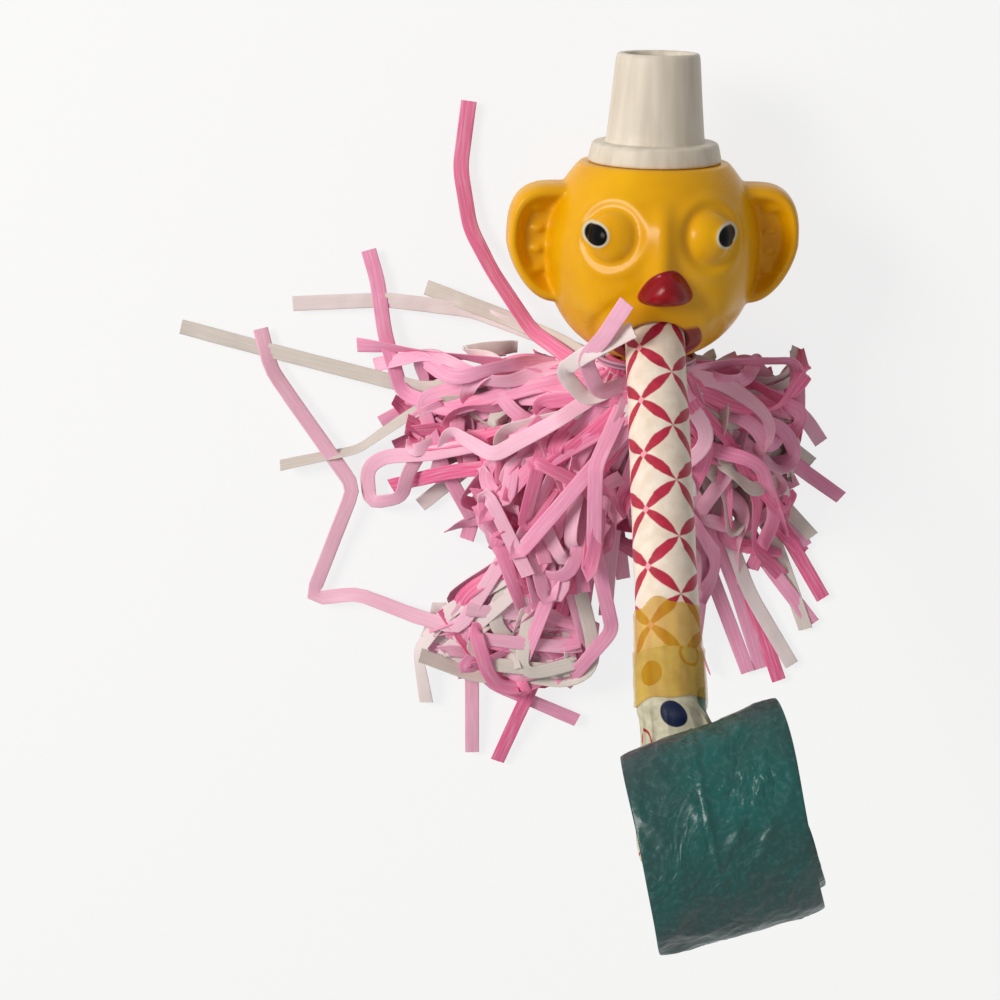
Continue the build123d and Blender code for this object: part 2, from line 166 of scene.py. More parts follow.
def ripple(points, size, seed, waves=14):
    """Smooth uneven waves of about that length, the same at each run."""
    draw = np.random.default_rng(seed)
    total = np.zeros(points.shape[:-1])
    for _ in range(waves):
        way = draw.normal(size=points.shape[-1])
        way /= np.linalg.norm(way)
        pace = FULL_TURN / size * draw.uniform(0.6, 1.5)
        total += np.sin(points @ way * pace + draw.uniform(0, FULL_TURN))
    return total / math.sqrt(waves)


def face_place(spread_deg, height):
    """A point on the face, with its outward, sideways and upward directions."""
    radius = HEAD_RADIUS * math.sqrt(1 - (height / HEAD_HALF_HEIGHT) ** 2)
    spread = math.radians(spread_deg)
    offset = np.array((radius * math.sin(spread), height, radius * math.cos(spread)))
    out = np.array((offset[0], height * (HEAD_RADIUS / HEAD_HALF_HEIGHT) ** 2, offset[2]))
    out /= np.linalg.norm(out)
    right = np.array((out[2], 0, -out[0]))
    right /= np.linalg.norm(right)
    return HEAD + offset, out, right, np.cross(out, right)


def pupil_place(side):
    place, _, right, up = face_place(side * EYE_SPREAD, EYE_Y)
    return place + right * side * PUPIL_OUTWARD + up * 0.3


# Materials. One function turns sRGB hex values to linear, and one adds a node with its settings and links.


def linear(hex_colour):
    parts = [int(hex_colour[i:i + 2], 16) / 255 for i in (1, 3, 5)]
    return [c / 12.92 if c <= 0.04045 else ((c + 0.055) / 1.055) ** 2.4 for c in parts] + [1.0]


def add(tree, kind, inputs=(), out=0, stops=(), **settings):
    """Adds a node and gives the output asked for. The kind's second word is its operation. Inputs go to the
    sockets in turn, or to those named. Stops are the places and colours of a colour ramp."""
    kind, _, operation = kind.partition(" ")
    node = tree.nodes.new(kind if "Node" in kind else "ShaderNode" + kind)
    if operation:
        node.operation = operation
    for key, value in settings.items():
        setattr(node, key, value)
    for i, (place, colour) in enumerate(stops):
        stop = node.color_ramp.elements[i] if i < 2 else node.color_ramp.elements.new(place)
        stop.position = place
        stop.color = linear(colour)
    for key, value in inputs.items() if isinstance(inputs, dict) else enumerate(inputs):
        if isinstance(value, bpy.types.NodeSocket):
            tree.links.new(value, node.inputs[key])
        else:
            node.inputs[key].default_value = linear(value) if str(value)[:1] == "#" else value
    return node.outputs[out] if len(node.outputs) else node


def start_material(name, coordinates, **sockets):
    """A new material with one shader, its tree, and the coordinates its patterns lie in. Numbers that are the
    same all over go straight on the shader's sockets."""
    material = bpy.data.materials.new(name)
    material.use_nodes = True
    tree = material.node_tree
    tree.nodes.clear()
    shader = add(tree, "BsdfPrincipled", {k.replace("_", " "): v for k, v in sockets.items()}, name="shader")
    add(tree, "OutputMaterial", {"Surface": shader})
    return material, tree, add(tree, "TexCoord", out=coordinates)


def finish_material(material, colour, layers, rough, bump):
    """Joins a pattern to the shader. Layers are masks and the colours that they let show, from the lowest up.
    Rough is a value, its range and the roughness at both ends. Bump is a height, its depth in mm and its
    strength."""
    tree = material.node_tree
    shader = tree.nodes["shader"].inputs
    for mask, tint in layers:
        colour = add(tree, "Mix", {0: mask, 6: colour, 7: tint}, 2, data_type="RGBA")
    tree.links.new(colour, shader["Base Color"])
    tree.links.new(add(tree, "MapRange", rough), shader["Roughness"])
    height, depth, strength = bump
    bump = {"Height": height, "Distance": depth * MM, "Strength": strength}
    tree.links.new(add(tree, "Bump", bump), shader["Normal"])
    return material


def yellow_plastic():
    """Blown polyethylene: glossy and a little cloudy, with pupils, nose and lips painted on by hand."""
    material, tree, place = start_material(
        "blown_polyethylene_yellow", "Object", IOR=1.51, Coat_Weight=0.08, Coat_Roughness=0.18)
    cloud = add(tree, "TexNoise", {"Vector": place, "Scale": 1000 / 14, "Detail": 3.0})
    yellow = add(tree, "ValToRGB", {"Fac": cloud}, stops=((0.3, "#dc9a02"), (0.7, "#eeb205")))
    streak = add(tree, "TexNoise", {"Vector": place, "Scale": 1000 / 3})
    red = add(tree, "ValToRGB", {"Fac": streak}, stops=((0.3, "#800210"), (0.7, "#a00618")))
    brown = add(tree, "ValToRGB", {"Fac": streak}, stops=((0.3, "#7c1a10"), (0.7, "#963015")))
    apart = add(tree, "SeparateXYZ", [place]).node.outputs
    ahead = add(tree, "Math GREATER_THAN", [apart[2], FACE_Z * MM])
    flat = add(tree, "VectorMath MULTIPLY", [place, (1, 1, 0)])
    layers = []
    # Pupils: black with a pale edge
    black = 0.0
    for side in (-1, 1):
        spot = (pupil_place(side) * (1, 1, 0) * MM).tolist()
        away = add(tree, "VectorMath DISTANCE", [flat, spot], "Value")
        for radius, tint in ((PUPIL_RADIUS + 0.4, "#cfc6ae"), (PUPIL_RADIUS, "#050404")):
            edge = {"Value": away, "From Min": (radius + 0.1) * MM, "From Max": (radius - 0.1) * MM}
            edge["To Max"] = ahead
            layers.append((add(tree, "MapRange", edge), tint))
        black = add(tree, "Math MAXIMUM", [layers[-1][0], black])
    # Nose: a rounded triangle
    nose, out, _, _ = face_place(NOSE_SPREAD, NOSE_Y)
    shape = {"Vector": place, "Location": (nose * MM).tolist()}
    shape["Rotation"] = (math.atan2(-out[1], out[2]), 0, 0)
    shape["Scale"] = ((NOSE_WIDE + 0.15) * MM, (NOSE_TALL + 0.15) * MM, 8 * MM)
    part = add(tree, "Mapping", shape, vector_type="TEXTURE")
    part = add(tree, "SeparateXYZ", [part]).node.outputs
    taper = add(tree, "Math MULTIPLY_ADD", [part[1], NOSE_TAPER, 1.0])
    wide = add(tree, "Math MULTIPLY", [part[0], taper])
    reach = 0.0
    for value in (wide, part[1]):
        size = add(tree, "Math ABSOLUTE", [value])
        size = add(tree, "Math POWER", [size, NOSE_POWER])
        reach = add(tree, "Math ADD", [size, reach])
    edge = {"Value": reach, "From Min": 1.14, "From Max": 1.0, "To Max": ahead}
    layers.append((add(tree, "MapRange", edge), red))
    # Lips: a ring round the tube, open above
    shape = {"Vector": place, "Location": (LIP_CENTRE * MM).tolist()}
    shape["Rotation"] = (math.radians(90) - LEAN, 0, 0)
    ring = add(tree, "Mapping", shape, vector_type="TEXTURE")
    part = add(tree, "SeparateXYZ", [ring]).node.outputs
    below = add(tree, "MapRange", {"Value": part[1], "From Min": 4.6 * MM, "From Max": 3.6 * MM})
    flat = add(tree, "VectorMath MULTIPLY", [ring, (1, 1, 0)])
    spread = add(tree, "VectorMath LENGTH", [flat], "Value")
    spread = add(tree, "Math SUBTRACT", [spread, LIP_RING * MM])
    beside = add(tree, "CombineXYZ", [spread, part[2]])
    beside = add(tree, "VectorMath LENGTH", [beside], "Value")
    edge = {"Value": beside, "From Min": 2.1 * MM, "From Max": 1.9 * MM, "To Max": below}
    layers.append((add(tree, "MapRange", edge), brown))
    dull = add(tree, "MapRange", {"Value": black, "To Min": 0.15, "To Max": 0.03})
    tree.links.new(dull, tree.nodes["shader"].inputs["Specular IOR Level"])
    scuff = add(tree, "TexNoise", {"Vector": place, "Scale": 1000 / 5, "Detail": 5.0})
    return finish_material(material, yellow, layers, (scuff, 0.3, 0.8, 0.24, 0.38), (cloud, 0.12, 0.6))


def white_plastic():
    """Moulded polystyrene: smooth, off-white, with faint draw lines on the crown and a few specks."""
    material, tree, place = start_material(
        "moulded_polystyrene_white", "Object", IOR=1.55, Specular_IOR_Level=0.25)
    drawn = {"Vector": place, "Location": (HEAD * MM).tolist(), "Scale": (1.0, 14.0, 1.0)}
    drawn = add(tree, "Mapping", drawn, vector_type="TEXTURE")
    lines = add(tree, "TexNoise", {"Vector": drawn, "Scale": 1000 / 1.8})
    colour = add(tree, "ValToRGB", {"Fac": lines}, stops=((0.32, "#cfc4b3"), (0.68, "#dfd6c8")))
    specks = add(tree, "TexVoronoi", {"Vector": place, "Scale": 1000 / 5})
    dirt = add(tree, "MapRange", {"Value": specks, "From Min": 0.06, "From Max": 0.03})
    layers = [(dirt, "#8a7a66")]
    return finish_material(material, colour, layers, (lines, 0, 1, 0.36, 0.5), (lines, 0.02, 0.15))


def lattice_paper():
    """Varnished printed paper: a lattice of red petals on cream, six columns round the tube."""
    material, tree, place = start_material("varnished_lattice_paper", "UV", IOR=1.45, Specular_IOR_Level=0.3)
    grain = add(tree, "TexNoise", {"Vector": place, "Scale": 1000 / 2.2, "Detail": 3.0})
    cell = FULL_TURN * WRAP_OUTER / LATTICE_COLUMNS
    start = (math.radians(69 + 90) * WRAP_OUTER * MM, 46.75 * MM, 0)
    spaced = {"Vector": place, "Location": start, "Scale": (cell * MM, LATTICE_ROW * MM, 1)}
    spaced = add(tree, "Mapping", spaced, vector_type="TEXTURE")
    part = add(tree, "SeparateXYZ", [spaced]).node.outputs
    wander = add(tree, "Math MULTIPLY_ADD", [grain, 0.16, -0.08])
    column = add(tree, "Math ADD", [part[0], wander])
    odd = add(tree, "Math PINGPONG", [column, 1.0])
    blunt = add(tree, "Math MULTIPLY_ADD", [odd, -0.5, 1.05])
    offs = []
    for operation in ("ADD", "SUBTRACT"):
        line = add(tree, "Math " + operation, [column, part[1]])
        line = add(tree, "Math MULTIPLY", [line, 0.5])
        offs.append(add(tree, "Math PINGPONG", [line, 0.5]))
    red = 0.0
    for off, along in (offs, offs[::-1]):
        over = along
        steps = (("MULTIPLY", math.pi), ("SINE", 0), ("POWER", blunt), ("MULTIPLY", 0.125), ("SUBTRACT", off))
        for operation, value in steps:
            over = add(tree, "Math " + operation, [over, value])
        petal = add(tree, "MapRange", {"Value": over, "From Min": -0.014, "From Max": 0.014})
        red = add(tree, "Math MAXIMUM", [petal, red])
    cross = add(tree, "CombineXYZ", [offs[0], offs[1]])
    cross = add(tree, "VectorMath LENGTH", [cross], "Value")
    cross = add(tree, "Math MULTIPLY_ADD", [odd, -0.15, cross])
    eye = add(tree, "MapRange", {"Value": cross, "From Min": -0.05, "From Max": -0.08})
    paper = add(tree, "ValToRGB", {"Fac": grain}, stops=((0.3, "#e6d3c0"), (0.7, "#f3e7da")))
    ink = add(tree, "ValToRGB", {"Fac": grain}, stops=((0.3, "#a01d38"), (0.7, "#c03049")))
    wrinkle = add(tree, "TexNoise", {"Vector": place, "Scale": 1000 / 6, "Detail": 4.0})
    layers = [(red, ink), (eye, "#ee9fae")]
    return finish_material(material, paper, layers, (grain, 0.3, 0.7, 0.34, 0.5), (wrinkle, 0.2, 0.5))


def dotted_paper():
    """Thin coated paper with printed spots of about 4 mm in turn: navy, a red ring, red, green."""
    material, tree, place = start_material("coated_spotted_paper", "UV", IOR=1.45, Specular_IOR_Level=0.2)
    grid = {"Vector": place, "Location": (9.3 * MM, 10.7 * MM, 0), "Rotation": (0, 0, math.radians(24))}
    grid["Scale"] = (SPOT_SPACING * MM, SPOT_SPACING * MM, 1)
    grid = add(tree, "Mapping", grid, vector_type="TEXTURE")
    middle = add(tree, "VectorMath ADD", [grid, (0.5, 0.5, 0)])
    cell = add(tree, "VectorMath FLOOR", [middle])
    inside = add(tree, "VectorMath SUBTRACT", [grid, cell])
    away = add(tree, "VectorMath LENGTH", [inside], "Value")
    turn = add(tree, "VectorMath DOT_PRODUCT", [cell, (1, 2, 0)], "Value")
    turn = add(tree, "Math FLOORED_MODULO", [turn, 4.0])
    discs = []
    for outer, inner in ((2.05, 1.9), (1.6, 1.45)):
        edge = {"Value": away, "From Min": outer / SPOT_SPACING, "From Max": inner / SPOT_SPACING}
        discs.append(add(tree, "MapRange", edge))
    ringed = add(tree, "Math COMPARE", [turn, 1.0, 0.2])
    core = add(tree, "Math MULTIPLY", [discs[1], ringed])
    spot = add(tree, "Math SUBTRACT", [discs[0], core])
    quarter = add(tree, "Math DIVIDE", [turn, 4.0])
    inks = ((0.0, "#0c1a38"), (0.2, "#a01f33"), (0.4, "#8a2a22"), (0.7, "#2f5a45"))
    ink = add(tree, "ValToRGB", {"Fac": quarter}, stops=inks)
    ink.node.color_ramp.interpolation = "CONSTANT"
    fibres = add(tree, "TexNoise", {"Vector": place, "Scale": 1000 / 1.5, "Detail": 4.0})
    paper = add(tree, "ValToRGB", {"Fac": fibres}, stops=((0.3, "#b0ac93"), (0.7, "#d2cdb6")))
    wrinkle = add(tree, "TexNoise", {"Vector": place, "Scale": 1000 / 4, "Detail": 5.0})
    return finish_material(material, paper, [(spot, ink)], (fibres, 0.3, 0.7, 0.32, 0.5), (wrinkle, 0.3, 0.6))


def teal_paper():
    """Glazed paper, dyed teal and handled soft: greyer where it is rubbed, waxy, with fine hard wrinkles and
    pale flecks on them that are a painted glint.
    """
    material, tree, place = start_material(
        "glazed_paper_teal", "UV", IOR=1.48, Specular_IOR_Level=0.18, Coat_Weight=0.25, Coat_Roughness=0.16)
    rubbed = add(tree, "TexNoise", {"Vector": place, "Scale": 1000 / 16, "Detail": 5.0, "Roughness": 0.6})
    tones = ((0.34, "#06524f"), (0.52, "#1a4744"), (0.7, "#2c3e40"))
    colour = add(tree, "ValToRGB", {"Fac": rubbed}, stops=tones)
    # Pale flecks on the fine wrinkles: a painted glint
    flecks = add(tree, "TexNoise", {"Vector": place, "Scale": 1000 / 0.8, "Detail": 3.0})
    pale = add(tree, "MapRange", {"Value": flecks, "From Min": 0.5, "From Max": 0.8, "To Max": 0.25})
    bends = add(tree, "TexNoise", {"Vector": place, "Scale": 1000 / 7, "Detail": 3.0, "Distortion": 0.6})
    fold = add(tree, "Math PINGPONG", [bends, 0.12])
    height = add(tree, "Math MULTIPLY_ADD", [flecks, 0.05, fold])
    layers = [(pale, "#62868a")]
    return finish_material(material, colour, layers, (rubbed, 0.3, 0.7, 0.24, 0.48), (height, 2.2, 0.75))


def ribbon(name, tones, other, share):
    """Crimped viscose ribbon: satin, with fine ribs along it that are painted pale as a sheen. Strips differ
    in tone, and a share of them are of the other colour."""
    material, tree, place = start_material(name, "UV", IOR=1.45, Specular_IOR_Level=0.3)
    drawn = add(tree, "Mapping", {"Vector": place, "Scale": (1.0, 0.04, 1.0)})
    ribs = add(tree, "TexNoise", {"Vector": drawn, "Scale": 1000 / 0.35})
    tone = add(tree, "Attribute", out="Fac", attribute_name="ribbon_tone")
    dyed = add(tree, "ValToRGB", {"Fac": tone}, stops=tuple(zip((0.1, 0.45, 0.8), tones)))
    swap = add(tree, "Math GREATER_THAN", [tone, 1 - share])
    # Pale lines along the ribs: a painted sheen
    pale = add(tree, "MapRange", {"Value": ribs, "From Min": 0.45, "From Max": 0.75, "To Max": 0.4})
    layers = [(swap, other), (pale, "#f6e6ec")]
    return finish_material(material, dyed, layers, (ribs, 0.3, 0.7, 0.36, 0.55), (ribs, 0.07, 0.5))


def grained(name, coordinates, stretch, pattern, colours, rough, bump, **sockets):
    """A plain material: one noise, drawn out along Y and as fine as its pattern in mm, gives it tone,
    roughness and relief."""
    material, tree, place = start_material(name, coordinates, **sockets)
    drawn = add(tree, "Mapping", {"Vector": place, "Scale": (1.0, stretch, 1.0)})
    size, detail, crisp = pattern
    noise = {"Vector": drawn, "Scale": 1000 / size, "Detail": detail, "Roughness": crisp}
    grain = add(tree, "TexNoise", noise)
    colour = add(tree, "ValToRGB", {"Fac": grain}, stops=tuple(zip((0.3, 0.7), colours)))
    return finish_material(material, colour, [], (grain, 0, 1, *rough), (grain, *bump))


def wound_thread():
    """Twisted cotton thread wound round the neck: turns of about 0.4 mm, painted darker in the grooves
    between them and lighter on their crowns as shade and highlight.
    """
    material, tree, place = start_material("wound_cotton_thread", "Object", IOR=1.45, Sheen_Weight=0.2)
    wave = {"Vector": place, "Scale": 1000 / 0.4 / 20 * math.pi, "Distortion": 0.3}
    rounds = add(tree, "TexWave", wave, "Fac", bands_direction="Y")
    # Each turn is dark where its bump is low and light where it is high: painted shade in the grooves,
    # painted highlight on the crowns
    colour = add(tree, "ValToRGB", {"Fac": rounds}, stops=((0.0, "#8f5f78"), (1.0, "#d79dbb")))
    return finish_material(material, colour, [], (rounds, 0, 1, 0.9, 0.65), (rounds, 0.15, 1))


finishes = {
    "yellow_plastic": yellow_plastic(),
    "white_plastic": white_plastic(),
    # Moulded polypropylene: milky, with a fine satin skin
    "reed_plastic": grained("moulded_polypropylene_milky", "Object", 1, (1.2, 4, 0.5), ("#d6d3c8", "#e9e6dc"),
                            (0.3, 0.55), (0.02, 1), IOR=1.49),
    # Thin rolled brass: fine lines along its length
    "reed_brass": grained("rolled_brass", "Object", 0.06, (0.2, 3, 0.5), ("#b5954a", "#d9bd72"),
                          (0.15, 0.45), (0.01, 1), Metallic=1.0),
    # Grey-brown board wound into a tube: dull, with fine fibres
    "tube_card": grained("wound_card", "Object", 1, (0.8, 5, 0.6), ("#a88f6e", "#c9b595"),
                         (0.7, 0.95), (0.05, 1), IOR=1.4),
    "lattice_paper": lattice_paper(),
    # Waxed tissue tape: thin, drawn into fine lengthwise creases, and lets the print under it show through
    "yellow_tissue": grained("waxed_tissue_yellow", "UV", 0.16, (1.6, 3, 0.5), ("#d6a006", "#f0c822"),
                             (0.25, 0.5), (0.3, 0.7), IOR=1.4, Alpha=0.33, Specular_IOR_Level=0.2),
    "dotted_paper": dotted_paper(),
    "teal_paper": teal_paper(),
    "binding_thread": wound_thread(),
    "pink_ribbon": ribbon("crimped_ribbon_pink", ("#ec669a", "#f394be", "#f9bfd8"), "#eee0e0", 0.14),
    "white_ribbon": ribbon("crimped_ribbon_white", ("#cfc6bd", "#e1d9d1", "#e8e0da"), "#f29fc4", 0.6),
}


# Meshes


def skin(grid, ring=False):
    """Faces over a grid of points that closes along its columns, and along its rows too if it is a ring."""
    rows, columns = grid.shape[:2]
    i, j = np.meshgrid(np.arange(rows if ring else rows - 1), np.arange(columns), indexing="ij")
    i2, j2 = (i + 1) % rows, (j + 1) % columns
    corners = np.stack([i * columns + j, i * columns + j2, i2 * columns + j2, i2 * columns + j], -1)
    return corners.reshape(-1, 4).tolist()


def capped(grid):
    """Faces over a grid of points, with one more over its first row and over its last."""
    rows, columns = grid.shape[:2]
    last = (rows - 1) * columns
    return skin(grid) + [list(range(columns))[::-1], list(range(last, last + columns))]


def grid_uv(uv):
    """The four corners' UV of each face of a grid, from UV with one more row or column at a closed side."""
    i, j = np.meshgrid(np.arange(uv.shape[0] - 1), np.arange(uv.shape[1] - 1), indexing="ij")
    return np.stack([uv[i, j], uv[i, j + 1], uv[i + 1, j + 1], uv[i + 1, j]], 2).reshape(-1, 2)


def new_object(name, data):
    made = bpy.data.objects.new(name, data)
    bpy.context.scene.collection.objects.link(made)
    return made


def make_piece(name, points, faces, slots=(), loop_uv=None, face_material=None):
    """A smooth-shaded mesh object with its faces turned outwards."""
    mesh = bpy.data.meshes.new(name)
    mesh.from_pydata((np.asarray(points, float).reshape(-1, 3) * MM).tolist(), [], faces)
    for slot in slots:
        mesh.materials.append(finishes[slot])
    if loop_uv is not None:
        layer = mesh.uv_layers.new(name="UVMap")
        layer.data.foreach_set("uv", (np.asarray(loop_uv, float) * MM).astype(np.float32).ravel())
    if face_material is not None:
        mesh.polygons.foreach_set("material_index", np.asarray(face_material, np.int32))
    mesh.polygons.foreach_set("use_smooth", np.ones(len(mesh.polygons), bool))
    mesh.update()
    work = bmesh.new()
    work.from_mesh(mesh)
    bmesh.ops.recalc_face_normals(work, faces=work.faces)
    work.to_mesh(mesh)
    work.free()
    return new_object(name, mesh)


def baked(made, name):
    """The object with its modifiers turned into plain mesh, under a new name."""
    bpy.context.view_layer.update()
    seen = made.evaluated_get(bpy.context.evaluated_depsgraph_get())
    mesh = bpy.data.meshes.new_from_object(seen)
    mesh.name = name
    return new_object(name, mesh)


def drop(*objects):
    for old in objects:
        bpy.data.objects.remove(old, do_unlink=True)


def settle(made, body, slot, *nodes):
    """Puts a finished piece on its body, in place of its CAD nodes."""
    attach(made, body)
    if nodes:
        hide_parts(*nodes)


# Head


def from_face(points, spread_deg, height):
    """How far points lie aside from a place on the face, and 1 for those on its side of the head."""
    place, out, right, up = face_place(spread_deg, height)
    off = points - place
    return np.hypot(off @ right, off @ up), smooth(-7, -4, off @ out)


def from_tube(points):
    """How far points lie along the tube, their offset from its line, and how long that is."""
    off = points - HEAD
    s = off @ TUBE
    off = off - toward(s, TUBE)
    return s, off, np.linalg.norm(off, axis=-1)


def egg_grid():
    """The egg with its relief: eyes in their sockets, bridge, cheeks, smile lines and the sunken mouth."""
    rows, columns = 190, 320
    fall = np.linspace(0.004, math.pi - 0.004, rows)[:, None]
    turn = circle(columns)[None, :]
    # A little fuller below than above
    power = np.where(np.cos(fall) < 0, 2.25, 2.0)
    radius = HEAD_RADIUS * (1 - np.abs(np.cos(fall)) ** power) ** (1 / power)
    offset = grid_of(radius * np.cos(turn), HEAD_HALF_HEIGHT * np.cos(fall), radius * np.sin(turn))
    out = offset / np.array((HEAD_RADIUS, HEAD_HALF_HEIGHT, HEAD_RADIUS)) ** 2
    out /= np.linalg.norm(out, axis=-1, keepdims=True)
    points = HEAD + offset
    relief = np.zeros(points.shape[:2])
    ball = (EYE_BALL ** 2 + EYE_RISE ** 2) / (2 * EYE_RISE)
    for side in (-1, 1):
        # Eye ball, with the rim of its socket and the groove between them
        q, near = from_face(points, side * EYE_SPREAD, EYE_Y)
        dome = np.sqrt(np.maximum(ball ** 2 - q ** 2, 0)) - (ball - EYE_RISE)
        relief += near * np.where(q < EYE_BALL, dome, 0)
        relief += near * (0.32 * hump(q, 6.1, 1.0) - 0.22 * hump(q, 4.9, 0.7))
        q, near = from_face(points, side * CHEEK_SPREAD, CHEEK_Y)
        relief += near * 1.1 * hump(q, 0, 4.6)
    # Bridge of the nose, and smile lines round the mouth
    bridge = smooth(-6, -2, offset[..., 1]) * (1 - smooth(5, 11, offset[..., 1]))
    relief += smooth(4, 8, offset[..., 2]) * 1.7 * hump(offset[..., 0], 0, 2.1) * bridge
    s, off, rho = from_tube(points)
    corner = smooth(0.2, 0.75, np.abs(off[..., 0]) / np.maximum(rho, 0.1))
    upper = smooth(-0.5, 0.2, (off @ LIFT) / np.maximum(rho, 0.1))
    relief -= smooth(2, 5, s) * 0.45 * hump(rho, 10.2, 0.8) * corner * upper
    points = points + toward(relief, out)
    for side in (-1, 1):
        aside = np.linalg.norm((points - pupil_place(side))[..., :2], axis=-1)
        bead = np.sqrt(np.clip(1 - (aside / PUPIL_BEAD) ** 2, 0, 1)) * (points[..., 2] > FACE_Z)
        points = points + toward(0.6 * bead, FRONT)
    # The mouth is sunk flat for the tube.
    s, _, rho = from_tube(points)
    sink = smooth(5.55, 5.2, rho) * smooth(2, 5, s)
    points = points + toward((MOUTH_FLOOR - s) * sink, TUBE)
    points[..., 1] = np.minimum(points[..., 1], CROWN_Y)
    return points


def closed_lathe(profile, axis, second_way, columns):
    """Points and faces of a solid turned about the head's middle, from a closed loop of (radius, height)."""
    turn = circle(columns)[:, None]
    ring = np.cos(turn) * SIDE + np.sin(turn) * second_way
    profile = np.asarray(profile, float)
    grid = HEAD + ring[:, None, :] * profile[None, :, :1] + axis * profile[None, :, 1:]
    return grid, skin(grid, True)


def bore(radius, low, high, axis, second_way):
    """A plain cylinder to cut a hole with."""
    return closed_lathe([(0.05, low), (radius, low), (radius, high), (0.05, high)], axis, second_way, 72)


def ear_shell(side):
    """A cupped ear: rounded rim, hollow with four small ridges, squarer at the top and narrower below."""
    share = np.linspace(0.02, 1, 44)[:, None]
    turn = circle(132)[None, :]
    power = np.where(np.sin(turn) > 0, 2.9, 2.1)
    tall = squarish(np.sin(turn), power)
    x = EAR_HALF_WIDTH * squarish(np.cos(turn), power) * (1 - 0.2 * np.maximum(-tall, 0)) * share
    y = EAR_HALF_HEIGHT * tall * share
    cup = 3.2 + 2.4 * smooth(0.6, 0.85, share) + 0 * turn
    edge = np.clip((share - EAR_RIM) / (1 - EAR_RIM), 0, 1)
    level = np.where(share > EAR_RIM, 0.9 + 4.7 * np.sqrt(1 - edge ** 2), cup)
    for i in range(EAR_RIBS):
        rib = 0.9 * hump(y, (i - 1.5) * 3.5 + 0.8, 0.75) * hump(x, 3.3, 1.3)
        level += rib * (1 - smooth(0.7, 0.84, share))
    grid = np.concatenate([grid_of(x, y, level), grid_of(x, y, -0.3)[::-1]])
    grid = HEAD + (grid + EAR_PLACE) * (side, 1, 1)
    return grid, capped(grid)


def nose_shell():
    """A bulging nose, wide and flat at its foot and narrower above."""
    rise = np.linspace(0, 0.995, 26)[:, None]
    turn = circle(72)[None, :]
    tall = squarish(np.sin(turn), NOSE_POWER)
    wide = squarish(np.cos(turn), NOSE_POWER) / (1 + NOSE_TAPER * tall)
    shrink = np.sqrt(1 - rise ** 2.3)
    place, out, right, up = face_place(NOSE_SPREAD, NOSE_Y)
    grid = place - NOSE_ROOT * out + toward(NOSE_WIDE * wide * shrink, right)
    grid = grid + toward(NOSE_TALL * tall * shrink, up) + toward((NOSE_RISE + NOSE_ROOT) * rise, out)
    return grid, capped(grid)


def lip_shell():
    """Lips round the tube, full at the corners of the mouth and thin above and below."""
    turn = circle(96)[:, None]
    swell = circle(28)[None, :]
    full = 0.2 + 1.5 * np.cos(turn) ** 2
    spread = LIP_RING + full * np.cos(swell)
    grid = LIP_CENTRE + toward(spread * np.cos(turn) * 1.05, SIDE) + toward(spread * np.sin(turn), LIFT)
    grid = grid + toward(full * np.sin(swell), TUBE)
    return grid, skin(grid, True)


def hollow_shell():
    """The room inside the head."""
    fall = np.linspace(0.01, math.pi - 0.01, 40)[:, None]
    turn = circle(64)[None, :]
    inner = (HEAD_RADIUS - 2 * HEAD_WALL) * np.sin(fall)
    height = (HEAD_HALF_HEIGHT - 2 * HEAD_WALL) * np.cos(fall)
    space = grid_of(inner * np.cos(turn), height, inner * np.sin(turn))
    space[..., 1] = np.minimum(space[..., 1], CROWN_Y - HEAD_WALL)
    return HEAD + space, capped(space)


def joined(shells):
    points, faces, first = [], [], 0
    for grid, grid_faces in shells:
        flat = grid.reshape(-1, 3)
        points.append(flat)
        faces += [[corner + first for corner in face] for face in grid_faces]
        first += len(flat)
    return np.concatenate(points), faces


def half_space(low, high):
    """A wide box between two heights."""
    points = [(x, y, z) for x in (-60, 60) for y in (-60, 60) for z in (low, high)]
    faces = [[0, 1, 3, 2], [4, 6, 7, 5], [0, 4, 5, 1], [2, 3, 7, 6], [0, 2, 6, 4], [1, 5, 7, 3]]
    return points, faces


def cut(made, other, operation):
    step = made.modifiers.new("cut", "BOOLEAN")
    step.operation = operation
    step.object = other
    step.solver = "EXACT"


